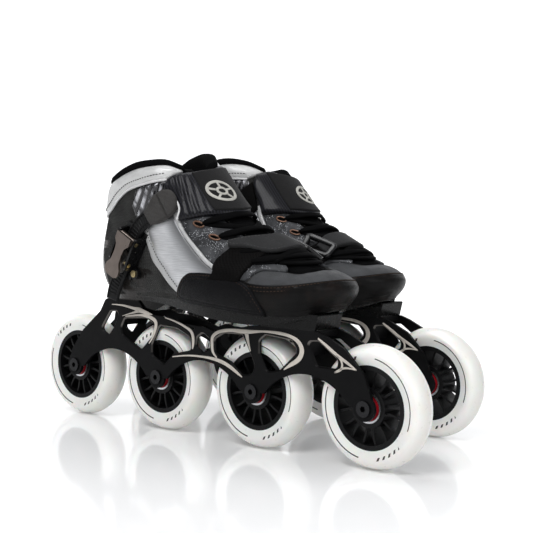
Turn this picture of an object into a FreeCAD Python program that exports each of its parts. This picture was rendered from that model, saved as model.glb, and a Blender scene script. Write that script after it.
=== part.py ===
"""A pair of four-wheel inline speed skates, right and left, standing side by side.

Lengths are in millimetres. +X points to the toes, +Y to the wearer's left, +Z up, and the
floor is Z = 0. One skate is built about its own wheel plane and then placed twice, the left
one as a mirror copy.
"""
import FreeCAD, Part
import math
import os

V = FreeCAD.Vector

# ---------------------------------------------------------------- pair
SKATE_SPACING = 128.2
SKATE_STAGGER = 31.2

# ---------------------------------------------------------------- wheels
WHEEL_R = 45.0
WHEEL_PITCH = 105.0
AXLE_XS = [(i - 1.5) * WHEEL_PITCH for i in range(4)]
AXLE_Z = WHEEL_R
TYRE_HALF = 11.8
HUB_R = 30.3
HUB_HALF = 9.7
HUB_RIM = 3.6
HUB_BOSS_R = 14.2
HUB_WEB_HALF = 7.6
SPOKE_PAIRS = 8
SPOKE_WALL = 1.7
SPOKE_ROOT = 2.6
SPOKE_TIP = 6.0
BEARING_R = 11.0
BEARING_LAND = 9.4
BEARING_INNER_R = 6.2
BEARING_PLAY = 0.05
BEARING_IN = 3.0
BEARING_OUT = 10.0
SHIELD_OUT = 9.6
SHIELD_THICK = 0.8
SPACER_R = 5.8
AXLE_R = 4.0
AXLE_HEAD_R = 5.8
AXLE_HEAD = 1.4
HEX_ACROSS = 4.0
HEX_DEPTH = 3.2

# ---------------------------------------------------------------- frame
WALL_OUT = 15.0
WALL_IN = 12.5
BOSS_R = 9.0
BOSS_INNER_R = 6.0
ARCH_R = 52.0
ARCH_TOP = 64.0
BEVEL = 1.1
CORNER = 3.5
REAR_TOP = 107.0
FRONT_TOP = 96.0
BRIDGE = 4.5
REAR_BOLT_X = -93.0
FRONT_BOLT_X = 90.0
BOLT_R = 3.0
BOLT_HEAD_R = 5.0
BOLT_HEAD = 4.0
BOLT_DEPTH = 5.0
WASHER_R = 6.5
WASHER = 1.2

# top line of one frame wall from the rear axle to the front one, as (x, z)
WALL_TOP = [(-165.5, 44), (-161, 59), (-146, 77.5), (-123, 95.5), (-116, REAR_TOP), (-74, REAR_TOP),
            (-68, 99), (-58, 96.5), (-42, 95.5), (-24, 92), (-10, 88), (0, 91.5), (13, 88), (24, 91.5),
            (60, FRONT_TOP), (115, FRONT_TOP), (124, 93), (140, 85.5), (157, 69), (164.5, 50)]

# windows through each wall, as (x, z) corners
WINDOWS = [
    [(-122, 80), (-110, 96), (-99, 96.5), (-106, 83), (-113, 75)],
    [(-96, 84), (-92, 91), (-66, 93), (-57, 89), (-58, 79), (-72, 66), (-95, 77)],
    [(-49, 88), (-29, 87), (-14, 81), (-13, 71), (-34, 66), (-44, 56.5), (-58, 63), (-58, 72)],
    [(-6, 82), (0, 86), (7, 82), (8, 74), (0, 70.5), (-7, 74)],
    [(13, 82), (23, 87.5), (42, 88), (55, 66), (52, 58.5), (43, 57), (30, 66), (14, 71)],
    [(60, 85), (66, 89.5), (91, 87.5), (97, 80), (80, 64.5), (68, 62), (60, 74)],
    [(106, 88), (116, 89), (134, 77), (133, 70.5), (115, 71)],
]

# ---------------------------------------------------------------- boot
# level sections of the boot: height, heel x, toe x, heel half width, ball half width, toe rounding
STATIONS = [
    (112, -108, 117, 28, 41, 58),
    (118, -113, 121.5, 31, 43.5, 58),
    (125, -117, 125, 32.5, 44.5, 58),
    (131, -119, 123, 33, 44, 60),
    (136, -120, 114, 33, 43, 64),
    (141, -120, 98, 33, 42, 70),
    (150, -119.5, 78, 33, 40, 76),
    (158, -118, 61, 33, 38, 76),
    (166, -116, 46, 33, 36.5, 68),
    (174, -113.5, 33, 33.5, 35.5, 60),
    (184, -110, 20, 34, 35, 54),
    (196, -106, 8, 35.5, 36, 50),
    (208, -102, -3, 37, 37.5, 46),
    (222, -98, -15, 38, 38.5, 44),
    (236, -94, -25, 38, 38.5, 32),
]
HEEL_ROUND = 34.0
SECTION_STEPS = 16
TOE_SHIFT = 8.0
LEAN_SPAN = 17.0
LEAN_LEAST = -0.7
SKIN = 2.6
LINER = 5.0
GAP = 0.3

THROAT_HALF = 17.0
TONGUE_HALF = 25.0
THROAT = [(72, 150), (130, 200), (60, 245), (-45, 245), (-45, 200), (-22, 188), (22, 160)]
SHELL_TOP = [(-135, 160), (-72, 156), (-48, 139), (-25, 126), (-6, 118), (14, 115), (140, 115)]
CUFF_TOP = [(-140, 196), (-112, 204), (-101, 209), (-90, 216), (-75, 219.5), (-56, 220), (-38, 217),
            (-22, 212), (10, 200), (140, 190)]
RIM_RISE = 3.0
TONGUE_TOP = [(-70, 208), (-40, 221), (-27, 223), (-12, 222), (5, 214), (140, 200)]
SOLE_LINE = [(-112, 113), (-103, 109.2), (-82, 109), (-62, 109), (-42, 108.6), (18, 102), (58, 98.5), (92, 101.5),
             (110, 107), (121, 113)]
SOLE_TAPER = 6.0
BLOCK_HALF = 15.0

# ---------------------------------------------------------------- straps, laces, eyelets
STRAP_LOW = 2.7
ANKLE_THICK = 4.3
INSTEP_THICK = 1.9
ANKLE_FRONT = [(-12, 176), (45, 170), (60, 190), (5, 228), (-8, 224), (-22, 209), (-12, 199), (-9, 187)]
ANKLE_MEDIAL = [(-12, 176), (-44, 150), (-66, 168), (-36, 200), (-22, 209), (-8, 190)]
INSTEP_BAND = [(24, 126), (50, 126), (82, 150), (92, 172), (50, 176), (40, 158)]
LACE_XS = [54, 42, 30, 18]
LACE_HALF = 21.5
LACE_WIDTH = 5.0
LACE_LOW = 0.3
LACE_HIGH = 2.2
EYELETS = [(8, 28.5), (26, 29), (43, 28), (58, 26)]
EYELET_R = 4.2
EYELET_HOLE = 2.5
EYELET_THICK = 0.8

# ---------------------------------------------------------------- buckle
BUCKLE_AT = V(-63, -33.8, 150)
BUCKLE_TILT = 62.0
BASE_LONG = 21.0
BASE_HALF = 12.5
BASE_THICK = 2.0
EAR_IN = 9.2
EAR_OUT = 11.2
EAR_TOP = 11.6
PIN_R = 1.8
PIN_PLAY = 0.05
LEVER_PIN = (11.0, 8.6)
PAWL_PIN = (-8.0, 8.2)
SCREW_AT = (-13.0, -15.5)
SCREW_LUG_R = 4.4
SCREW_R = 2.8
LADDER_HALF = 7.0
LADDER_LOW = 2.3
LADDER_HIGH = 4.6
LEVER_N = 12.4
LEVER_THICK = 1.8
BARREL_R = 3.4
BARREL_HALF = 9.0
LADDER_LINE = [(-38, 177), (-52, 168), (-60, 155), (-66, 143), (-73, 129), (-79, 118), (-82, 108)]
ANCHOR = [(-46, 176), (-36, 166), (-22, 172), (-16, 182), (-21, 192), (-32, 194)]
RING_AT = (52, 140)
RING_LONG = 34.0
RING_WIDE = 13.0
RING_BAR = 3.0


def block(x0, x1, y0, y1, z0, z1):
    """Box between two corners."""
    return Part.makeBox(x1 - x0, y1 - y0, z1 - z0, V(x0, y0, z0))


def drum(radius, x, y0, y1, z, hole=0.0):
    """Cylinder or tube along Y."""
    shape = Part.makeCylinder(radius, y1 - y0, V(x, y0, z), V(0, 1, 0))
    if hole > 0:
        shape = shape.cut(Part.makeCylinder(hole, y1 - y0, V(x, y0, z), V(0, 1, 0)))
    return shape


def post(radius, x, y, z0, z1, hole=0.0):
    """Cylinder or tube along Z."""
    shape = Part.makeCylinder(radius, z1 - z0, V(x, y, z0))
    if hole > 0:
        shape = shape.cut(Part.makeCylinder(hole, z1 - z0, V(x, y, z0)))
    return shape


def prism(points, y0, y1):
    """Straight-sided outline in the XZ plane, drawn out along Y."""
    corners = [V(x, y0, z) for x, z in points]
    face = Part.Face(Part.makePolygon(corners + corners[:1]))
    return face.extrude(V(0, y1 - y0, 0))


def rounded_wire(points, radius, y):
    """Closed outline in the XZ plane with every corner rounded."""
    count = len(points)
    corners = []
    for i in range(count):
        here = V(points[i][0], y, points[i][1])
        back = V(points[i - 1][0], y, points[i - 1][1]) - here
        ahead = V(points[(i + 1) % count][0], y, points[(i + 1) % count][1]) - here
        half = back.getAngle(ahead) / 2
        cut = min(radius / math.tan(half), 0.45 * back.Length, 0.45 * ahead.Length)
        back.normalize()
        ahead.normalize()
        towards = back + ahead
        towards.normalize()
        bend = cut * math.tan(half)
        middle = here + towards * (bend / math.sin(half) - bend)
        corners.append((here + back * cut, middle, here + ahead * cut))
    edges = []
    for i in range(count):
        start, middle, end = corners[i]
        edges.append(Part.makeLine(corners[i - 1][2], start))
        edges.append(Part.Arc(start, middle, end).toShape())
    return Part.Wire(edges)


def rounded_prism(points, radius, y0, y1):
    """Outline in the XZ plane with rounded corners, drawn out along Y."""
    face = Part.Face(rounded_wire(points, radius, y0))
    return face.extrude(V(0, y1 - y0, 0))


def grown(points, distance):
    """The same outline with every side moved outwards."""
    count = len(points)
    area = sum(points[i - 1][0] * points[i][1] - points[i][0] * points[i - 1][1] for i in range(count))
    turn = 1 if area > 0 else -1
    result = []
    for i in range(count):
        (ax, az), (bx, bz), (cx, cz) = points[i - 1], points[i], points[(i + 1) % count]
        first, second = math.hypot(bx - ax, bz - az), math.hypot(cx - bx, cz - bz)
        n1 = (turn * (bz - az) / first, -turn * (bx - ax) / first)
        n2 = (turn * (cz - bz) / second, -turn * (cx - bx) / second)
        share = distance / (1 + n1[0] * n2[0] + n1[1] * n2[1])
        result.append((bx + share * (n1[0] + n2[0]), bz + share * (n1[1] + n2[1])))
    return result


def window_cutter(points):
    """Window through the wall with a bevel round its outer edge."""
    through = rounded_prism(points, CORNER, WALL_IN - 0.5, WALL_OUT + 0.5)
    small = rounded_wire(points, CORNER, WALL_OUT - BEVEL)
    large = rounded_wire(grown(points, BEVEL + 0.2), CORNER + BEVEL, WALL_OUT + 0.2)
    return through.fuse(Part.makeLoft([small, large], True, True))


def spline(points, y):
    """Open curve through (x, z) points at one y."""
    curve = Part.BSplineCurve()
    curve.interpolate([V(x, y, z) for x, z in points])
    return curve.toShape()


def between(line, level, y0, y1):
    """Everything between a curve in the XZ plane and a level below or above it."""
    curve = spline(line, y0)
    left, right = line[0], line[-1]
    sides = Part.makePolygon([V(right[0], y0, right[1]), V(right[0], y0, level),
                              V(left[0], y0, level), V(left[0], y0, left[1])])
    face = Part.Face(Part.Wire([curve] + sides.Edges))
    return face.extrude(V(0, y1 - y0, 0))


def joined(shapes):
    """One solid from several that overlap."""
    result = shapes[0]
    for shape in shapes[1:]:
        result = result.fuse(shape)
    return result.removeSplitter()


def smooth(value):
    """Ease from 0 to 1."""
    t = min(max(value, 0.0), 1.0)
    return t * t * (3 - 2 * t)


# ================================================================ wheel
def tyre_shape(x):
    """Cast ring with a rounded tread, on the hub's rim."""
    half = TYRE_HALF
    profile = [(HUB_R, -HUB_HALF), (31.8, -10.2), (34.6, -11.2), (37.2, -half), (39.6, -11.2), (41.9, -8.7),
               (43.8, -4.9), (44.7, -2.2), (WHEEL_R, 0), (44.7, 2.2), (43.8, 4.9), (41.9, 8.7),
               (39.6, 11.2), (37.2, half), (34.6, 11.2), (31.8, 10.2), (HUB_R, HUB_HALF)]
    curve = Part.BSplineCurve()
    curve.interpolate([V(x, y, AXLE_Z + r) for r, y in profile])
    inner = Part.makeLine(V(x, HUB_HALF, AXLE_Z + HUB_R), V(x, -HUB_HALF, AXLE_Z + HUB_R))
    face = Part.Face(Part.Wire([curve.toShape(), inner]))
    return face.revolve(V(x, 0, AXLE_Z), V(0, 1, 0), 360)


def spoke(x, side, turn):
    """One curved web between the boss and the rim."""
    inner, outer = HUB_BOSS_R - 1.0, HUB_R - HUB_RIM + 0.6
    steps = 6
    near, far = [], []
    for i in range(steps + 1):
        share = i / steps
        reach = inner + (outer - inner) * share
        offset = side * (SPOKE_ROOT + (SPOKE_TIP - SPOKE_ROOT) * share ** 2)
        near.append((x + offset - SPOKE_WALL / 2, AXLE_Z + reach))
        far.append((x + offset + SPOKE_WALL / 2, AXLE_Z + reach))
    web = prism(near + far[::-1], -HUB_WEB_HALF, HUB_WEB_HALF)
    web.rotate(V(x, 0, AXLE_Z), V(0, 1, 0), turn)
    return web


def hub_shape(x):
    """Moulded hub: rim, boss with a rib between the bearings, and paired curved spokes."""
    rim = drum(HUB_R, x, -HUB_HALF, HUB_HALF, AXLE_Z, HUB_R - HUB_RIM)
    boss = drum(HUB_BOSS_R, x, -HUB_HALF, HUB_HALF, AXLE_Z, BEARING_R)
    rib = drum(BEARING_R + 0.5, x, -BEARING_IN, BEARING_IN, AXLE_Z, SPACER_R + 1.2)
    webs = []
    for i in range(SPOKE_PAIRS):
        turn = i * 360.0 / SPOKE_PAIRS
        webs.append(spoke(x, -1, turn))
        webs.append(spoke(x, 1, turn))
    return joined([rim, boss, rib] + webs)


def bearing_rings(x):
    """Outer rings with their shields, one bearing on each side of the rib."""
    rings = []
    for side in (-1, 1):
        low, high = sorted((side * BEARING_IN, side * BEARING_OUT))
        ring = drum(BEARING_R, x, low, high, AXLE_Z, BEARING_LAND)
        low, high = sorted((side * (SHIELD_OUT - SHIELD_THICK), side * SHIELD_OUT))
        shield = drum(BEARING_LAND + 0.4, x, low, high, AXLE_Z, BEARING_INNER_R + BEARING_PLAY)
        rings.append(joined([ring, shield]))
    return Part.makeCompound(rings)


def inner_rings():
    """Inner rings and the spacer between them, on every axle."""
    parts = []
    for x in AXLE_XS:
        for low, high in ((-BEARING_OUT, -BEARING_IN), (BEARING_IN, BEARING_OUT)):
            parts.append(drum(BEARING_INNER_R, x, low, high, AXLE_Z, AXLE_R))
        parts.append(drum(SPACER_R, x, -BEARING_IN, BEARING_IN, AXLE_Z, AXLE_R))
    return Part.makeCompound(parts)


def hexagon(x, z, across, y0, y1):
    """Hexagonal prism along Y."""
    radius = across / math.sqrt(3)
    corners = [(x + radius * math.cos(math.radians(60 * i)), z + radius * math.sin(math.radians(60 * i)))
               for i in range(6)]
    return prism(corners, y0, y1)


def axle_bolts():
    """Four through bolts with a low head and a hexagon socket at each end."""
    bolts = []
    for x in AXLE_XS:
        shaft = drum(AXLE_R, x, -WALL_OUT - AXLE_HEAD, WALL_OUT + 0.4, AXLE_Z)
        head = drum(AXLE_HEAD_R, x, -WALL_OUT - AXLE_HEAD, -WALL_OUT, AXLE_Z)
        bolt = joined([shaft, head])
        near = -WALL_OUT - AXLE_HEAD
        bolt = bolt.cut(hexagon(x, AXLE_Z, HEX_ACROSS, near, near + HEX_DEPTH))
        bolt = bolt.cut(hexagon(x, AXLE_Z, HEX_ACROSS, WALL_OUT + 0.4 - HEX_DEPTH, WALL_OUT + 0.4))
        bolts.append(bolt)
    return Part.makeCompound(bolts)


# ================================================================ frame
def wall_outline():
    """One wall without windows, between the inner and the outer wall planes."""
    plate = rounded_prism(WALL_TOP + [(158, 40), (-158, 40)], 6.0, WALL_IN, WALL_OUT)
    for x in AXLE_XS:
        plate = plate.fuse(drum(BOSS_R, x, WALL_IN, WALL_OUT, AXLE_Z))
    for i in range(3):
        middle = (AXLE_XS[i] + AXLE_XS[i + 1]) / 2
        plate = plate.cut(drum(ARCH_R, middle, WALL_IN, WALL_OUT, ARCH_TOP - ARCH_R))
    for x in AXLE_XS:
        plate = plate.fuse(drum(BOSS_R, x, WALL_IN, WALL_OUT, AXLE_Z))
        low = block(x - 30, x + 30, WALL_IN, WALL_OUT, 10, AXLE_Z)
        plate = plate.cut(low.cut(drum(BOSS_R, x, WALL_IN, WALL_OUT, AXLE_Z)))
    return plate.removeSplitter()


def frame_wall():
    """The wall on the +Y side, with windows, bevelled edges and axle bosses."""
    plate = wall_outline()
    for corners in WINDOWS:
        plate = plate.cut(window_cutter(corners))
    for x in AXLE_XS:
        plate = plate.fuse(drum(BOSS_INNER_R, x, BEARING_OUT, WALL_IN + 0.2, AXLE_Z))
    for x in AXLE_XS:
        plate = plate.cut(drum(AXLE_R, x, 0, WALL_OUT + 1, AXLE_Z))
    return plate.removeSplitter()


def frame_shape():
    """Both walls and the bridges that join them over the wheels."""
    wall = frame_wall()
    other = wall.mirror(V(0, 0, 0), V(0, 1, 0))
    inside = WALL_IN + 0.5
    rear = block(-115, -76, -inside, inside, REAR_TOP - BRIDGE, REAR_TOP)
    front = block(64, 113, -inside, inside, FRONT_TOP - BRIDGE, FRONT_TOP)
    rear_web = prism([(-104, REAR_TOP - 1), (-99, REAR_TOP - 1), (-103, 84), (-108, 84)], -inside, inside)
    front_web = prism([(100, FRONT_TOP - 1), (104, FRONT_TOP - 1), (102, 76), (98, 76)], -inside, inside)
    shape = joined([wall, other, rear, front, rear_web, front_web])
    for x, top in ((REAR_BOLT_X, REAR_TOP), (FRONT_BOLT_X, FRONT_TOP)):
        slot = block(x - 4, x + 4, -BOLT_R - 0.2, BOLT_R + 0.2, top - 10, top + 1)
        ends = [post(BOLT_R + 0.2, x + side * 4, 0, top - 10, top + 1) for side in (-1, 1)]
        shape = shape.cut(joined([slot] + ends))
    return shape


def mounting_bolts():
    """The two bolts that hold the frame to the sole, with their washers."""
    parts = []
    for x, top in ((REAR_BOLT_X, REAR_TOP), (FRONT_BOLT_X, FRONT_TOP)):
        under_bridge = top - BRIDGE
        parts.append(post(WASHER_R, x, 0, under_bridge - WASHER, under_bridge, BOLT_R))
        head_top = under_bridge - WASHER
        bolt = joined([post(BOLT_R, x, 0, head_top - 1, top + BOLT_DEPTH),
                       post(BOLT_HEAD_R, x, 0, head_top - BOLT_HEAD, head_top)])
        socket = hexagon(x, 0, HEX_ACROSS, 0, 3)
        socket.rotate(V(x, 0, 0), V(1, 0, 0), 90)
        socket.translate(V(0, 0, head_top - BOLT_HEAD))
        parts.append(bolt.cut(socket))
    return Part.makeCompound(parts)


# ================================================================ boot
def section(station, inset):
    """Points round one level of the boot from the toe over the outer side and the heel to the toe."""
    level, heel, toe, heel_half, ball_half, toe_round = station
    z = level + inset * max(LEAN_LEAST, 1 - (level - STATIONS[0][0]) / LEAN_SPAN)
    if station == STATIONS[-1]:
        z = level + abs(inset)
    heel += inset
    toe -= inset
    heel_half -= inset
    ball_half -= inset
    heel_round = HEEL_ROUND - inset
    toe_round -= inset
    rear_end = heel + heel_round
    front_start = toe - toe_round
    count = SECTION_STEPS
    xs = [heel + (toe - heel) * (1 - math.cos(math.pi * i / count)) / 2 for i in range(count + 1)]
    side = []
    for x in xs:
        half = heel_half + (ball_half - heel_half) * smooth((x + 60) / 100)
        if x < rear_end:
            half *= math.sqrt(max(0.0, 1 - ((rear_end - x) / heel_round) ** 2))
        if x > front_start:
            half *= math.sqrt(max(0.0, 1 - ((x - front_start) / toe_round) ** 2))
        side.append((x, half, TOE_SHIFT * smooth((x - 10) / 110)))
    points = [V(x, shift - half, z) for x, half, shift in side[::-1]]
    return points + [V(x, shift + half, z) for x, half, shift in side[1:]]


def boot_form(inset):
    """Solid form of the boot, drawn in by an inset, or let out by a negative one."""
    rows = [section(station, inset) for station in STATIONS]
    surface = Part.BSplineSurface()
    surface.interpolate(rows)
    surface.setVPeriodic()
    side = surface.toShape()
    level = [e for e in side.Edges if e.BoundBox.ZLength < 0.5]
    faces = [side] + [Part.Face(Part.Wire([e])) for e in level]
    skin = Part.makeShell(faces)
    skin.sewShape()
    solid = Part.Solid(skin)
    if solid.Volume < 0:
        solid.reverse()
    return solid


FORMS = {}


def form(inset):
    """The boot form, built once for each inset."""
    if inset not in FORMS:
        FORMS[inset] = boot_form(inset)
    return FORMS[inset]


def layer(low, high):
    """Skin between two offsets outside the boot."""
    return form(-high).cut(form(-low))


def below(line, rise=0.0):
    """Everything under a profile line across the boot."""
    return between([(x, z + rise) for x, z in line], 90, -80, 80)


def level_wire(inset, z):
    """The lowest section of the boot as a closed outline at another height."""
    points = [V(p.x, p.y, z) for p in section(STATIONS[0], inset)]
    curve = Part.BSplineCurve()
    curve.interpolate(points)
    return Part.Wire([curve.toShape()])


def shell_shape():
    """Moulded heel cup and sole with the two mounting blocks."""
    skin = form(0).cut(form(SKIN))
    corners = SHELL_TOP + [(140, 90), (-135, 90)]
    cup = skin.common(prism(corners, -80, 80))
    plate = Part.makeLoft([level_wire(SOLE_TAPER, 97), level_wire(0.3, 113)], True, True)
    plate = plate.common(between(SOLE_LINE, 125, -80, 80))
    rear_block = block(-113, -74, -BLOCK_HALF, BLOCK_HALF, REAR_TOP, 111)
    step = rounded_prism([(-76, 112), (-73, 107.6), (-66, 101.6), (-56, 100), (-43, 106), (-37, 112)], 1.0,
                         -BLOCK_HALF + 1, BLOCK_HALF - 1)
    front_block = rounded_prism([(44, 108), (52, 98), (64, FRONT_TOP), (113, FRONT_TOP), (116, 108)], 1.0,
                                -BLOCK_HALF, BLOCK_HALF)
    front_block = front_block.cut(form(0))
    shape = joined([cup, plate, rear_block, step, front_block])
    for x, top in ((REAR_BOLT_X, REAR_TOP), (FRONT_BOLT_X, FRONT_TOP)):
        shape = shape.cut(post(BOLT_R, x, 0, top - 1, top + BOLT_DEPTH))
    return shape


def throat(half):
    """The opening over the instep."""
    return prism(THROAT, -half, half)


def upper_shape():
    """Leather upper above the shell, open at the throat and at the cuff."""
    skin = form(0).cut(form(SKIN))
    corners = SHELL_TOP + [(140, 90), (-135, 90)]
    skin = skin.cut(prism(corners, -80, 80))
    skin = skin.cut(throat(THROAT_HALF))
    return skin.common(below(CUFF_TOP))


def liner_shape():
    """Padded lining with a floor and a rim that stands above the upper."""
    pad = form(SKIN).cut(form(SKIN + LINER))
    pad = pad.cut(throat(TONGUE_HALF))
    return pad.common(below(CUFF_TOP, RIM_RISE))


def tongue_shape():
    """Padded tongue that fills the throat and runs under the facings."""
    wide = form(SKIN).common(throat(TONGUE_HALF - GAP))
    narrow = form(1.0).common(throat(THROAT_HALF - GAP))
    shape = wide.fuse(narrow).cut(form(SKIN + LINER))
    return shape.common(below(TONGUE_TOP))


def surface_point(x, y):
    """Top point of the boot form over (x, y), and the outward normal there."""
    line = Part.makeLine(V(x, y, 118), V(x, y, 260)).common(form(0))
    top = max((v.Point for v in line.Vertexes), key=lambda p: p.z)
    face = min(form(0).Faces, key=lambda f: f.distToShape(Part.Vertex(top))[0])
    u, v = face.Surface.parameter(top)
    return top, face.normalAt(u, v)


def eyelet_rings():
    """Pressed metal rings along both facings."""
    rings = []
    for x, across in EYELETS:
        for side in (-1, 1):
            at, normal = surface_point(x, side * across)
            start = at + normal * 0.45
            ring = Part.makeCylinder(EYELET_R, EYELET_THICK, start, normal)
            ring = ring.cut(Part.makeCylinder(EYELET_HOLE, EYELET_THICK, start, normal))
            rings.append(ring)
    return Part.makeCompound(rings)


def lace_shape():
    """Flat lace that crosses the tongue between the facings."""
    runs = []
    for i, x in enumerate(LACE_XS):
        for lean in (-1, 1):
            start, end = x - 6 * lean, x + 6 * lean
            half = LACE_WIDTH / 2
            corners = [V(start - half, -LACE_HALF, 120), V(start + half, -LACE_HALF, 120),
                       V(end + half, LACE_HALF, 120), V(end - half, LACE_HALF, 120)]
            face = Part.Face(Part.makePolygon(corners + corners[:1]))
            runs.append(face.extrude(V(0, 0, 100)))
    return layer(LACE_LOW, LACE_HIGH).common(joined(runs)).common(block(-20, 90, -60, 60, 150, 240))


def ankle_strap():
    """Padded strap round the front of the ankle, rooted on the inner side of the heel."""
    band = layer(STRAP_LOW, STRAP_LOW + ANKLE_THICK)
    front = band.common(rounded_prism(ANKLE_FRONT, 3.0, -80, 80))
    medial = band.common(rounded_prism(ANKLE_MEDIAL, 3.0, 10, 80))
    return front.fuse(medial).removeSplitter()


def instep_strap():
    """Webbing strap over the instep."""
    band = layer(STRAP_LOW, STRAP_LOW + INSTEP_THICK)
    return band.common(rounded_prism(INSTEP_BAND, 2.0, -80, 80))


def instep_ring():
    """Flat rectangular loop on the inner side that the instep strap is led through."""
    x, z = RING_AT
    low = STRAP_LOW + INSTEP_THICK + GAP
    shell = layer(low, low + 2.2)
    half, wide = RING_LONG / 2, RING_WIDE / 2
    outer = rounded_prism([(x - half, z - wide), (x + half, z - wide), (x + half, z + wide), (x - half, z + wide)],
                          2.0, 0, 80)
    hole = rounded_prism([(x - half + RING_BAR, z - wide + RING_BAR), (x + half - RING_BAR, z - wide + RING_BAR),
                          (x + half - RING_BAR, z + wide - RING_BAR), (x - half + RING_BAR, z + wide - RING_BAR)],
                         1.0, 0, 80)
    return shell.common(outer.cut(hole))


# ================================================================ buckle
def on_boot(shape):
    """Place a buckle part built flat: u along the strap, v across it, w out of the boot."""
    turned = shape.copy()
    turned.rotate(V(0, 0, 0), V(1, 0, 0), 90)
    turned.rotate(V(0, 0, 0), V(0, 1, 0), -BUCKLE_TILT)
    turned.translate(BUCKLE_AT)
    return turned


def cross_pin(place, radius, half):
    """Cylinder across the strap, at (u, n) of the buckle."""
    return Part.makeCylinder(radius, 2 * half, V(place[0], -half, place[1]), V(0, 1, 0))


def buckle_base():
    """Base plate with a pair of ears and a screw lug."""
    parts = [block(-BASE_LONG, BASE_LONG, -BASE_HALF, BASE_HALF, 0, BASE_THICK)]
    for side in (-1, 1):
        low, high = sorted((side * EAR_IN, side * EAR_OUT))
        parts.append(rounded_prism([(-14, 1), (18, 1), (15, EAR_TOP), (-12, EAR_TOP)], 2.5, low, high))
    u, v = SCREW_AT
    parts.append(post(SCREW_LUG_R, u, v, 0, 4.0))
    parts.append(block(u - SCREW_LUG_R, u + SCREW_LUG_R, v, -BASE_HALF + 1, 0, BASE_THICK))
    base = joined(parts)
    for place in (LEVER_PIN, PAWL_PIN):
        base = base.cut(cross_pin(place, PIN_R, 20))
    return on_boot(base)


def buckle_pins():
    """Lever pin, pawl pin and the screw that holds the base."""
    u, v = SCREW_AT
    parts = [cross_pin(LEVER_PIN, PIN_R, EAR_OUT), cross_pin(PAWL_PIN, PIN_R, EAR_OUT)]
    parts.append(post(SCREW_R, u, v, 4.0, 5.2))
    return on_boot(Part.makeCompound(parts))


def buckle_lever():
    """Pressed lever: a barrel on the pin, a waisted plate and a rounded finger tab."""
    top = LEVER_N + LEVER_THICK
    edge = [(-23, 4.0), (-21.5, 7.5), (-18, 8.8), (-14.5, 8.2), (-10, 5.2), (-2, 4.6), (4, 5.4), (8, 8.8),
            (14.5, 8.8)]
    corners = [V(u, v, LEVER_N) for u, v in edge] + [V(u, -v, LEVER_N) for u, v in edge[::-1]]
    face = Part.Face(Part.makePolygon(corners + corners[:1]))
    parts = [face.extrude(V(0, 0, LEVER_THICK))]
    parts.append(cross_pin(LEVER_PIN, BARREL_R, BARREL_HALF))
    parts.append(block(8.5, 13.5, -BARREL_HALF + 0.4, BARREL_HALF - 0.4, LEVER_PIN[1], top - 0.4))
    lever = joined(parts).cut(cross_pin(LEVER_PIN, PIN_R + PIN_PLAY, 20))
    return on_boot(lever)


def buckle_pawl():
    """Sprung release pawl whose tip lies on the ladder strap."""
    body = rounded_prism([(0.5, 5.2), (-9, 5.3), (-17, 7.4), (-17.5, 9.4), (-8, 11.4), (-2, 8.6)], 0.6, -6.5, 6.5)
    return on_boot(body.cut(cross_pin(PAWL_PIN, PIN_R + PIN_PLAY, 20)))


def ladder_strap():
    """Ratchet strap from the ankle strap through the buckle to its free end, and the end plate."""
    near, far = [], []
    count = len(LADDER_LINE)
    for i, (x, z) in enumerate(LADDER_LINE):
        before = LADDER_LINE[max(i - 1, 0)]
        after = LADDER_LINE[min(i + 1, count - 1)]
        run = math.hypot(after[0] - before[0], after[1] - before[1])
        across = ((after[1] - before[1]) / run, -(after[0] - before[0]) / run)
        near.append((x + across[0] * LADDER_HALF, z + across[1] * LADDER_HALF))
        far.append((x - across[0] * LADDER_HALF, z - across[1] * LADDER_HALF))
    wall = BUCKLE_AT.y
    strap = prism(near + far[::-1], wall - LADDER_HIGH, wall - LADDER_LOW)
    plate = rounded_prism(ANCHOR, 4.0, wall - LADDER_HIGH - 3.2, wall - LADDER_HIGH)
    return Part.makeCompound([strap, plate])


# ================================================================ assembly
def skate_nodes():
    """Every node of one skate, in its own frame."""
    nodes = {
        "frame": frame_shape(),
        "axle_bolts": axle_bolts(),
        "bearing_inner_rings": inner_rings(),
        "mounting_bolts": mounting_bolts(),
        "shell": shell_shape(),
        "upper": upper_shape(),
        "liner": liner_shape(),
        "tongue": tongue_shape(),
        "laces": lace_shape(),
        "eyelets": eyelet_rings(),
        "ankle_strap": ankle_strap(),
        "ladder_strap": ladder_strap(),
        "instep_strap": instep_strap(),
        "instep_ring": instep_ring(),
        "buckle_base": buckle_base(),
        "buckle_pins": buckle_pins(),
        "buckle_lever": buckle_lever(),
        "buckle_pawl": buckle_pawl(),
    }
    for number, x in enumerate(AXLE_XS, 1):
        nodes["wheel_%d_tyre" % number] = tyre_shape(x)
        nodes["wheel_%d_hub" % number] = hub_shape(x)
        nodes["wheel_%d_bearings" % number] = bearing_rings(x)
    return nodes


def main():
    """Write one file for each node of both skates."""
    os.makedirs("parts", exist_ok=True)
    for name, shape in skate_nodes().items():
        right = shape.copy()
        right.translate(V(SKATE_STAGGER / 2, -SKATE_SPACING / 2, 0))
        right.exportStep("parts/right_%s.step" % name)
        left = shape.mirror(V(0, 0, 0), V(0, 1, 0))
        left.translate(V(-SKATE_STAGGER / 2, SKATE_SPACING / 2, 0))
        left.exportStep("parts/left_%s.step" % name)


main()
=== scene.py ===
"""The looks of a pair of inline skates: boots, straps, laces, wheels and frames round the CAD model."""

import math

import bpy
import numpy as np
from mathutils import Matrix, Vector
from mathutils.geometry import delaunay_2d_cdt
from mathutils.kdtree import KDTree


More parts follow.
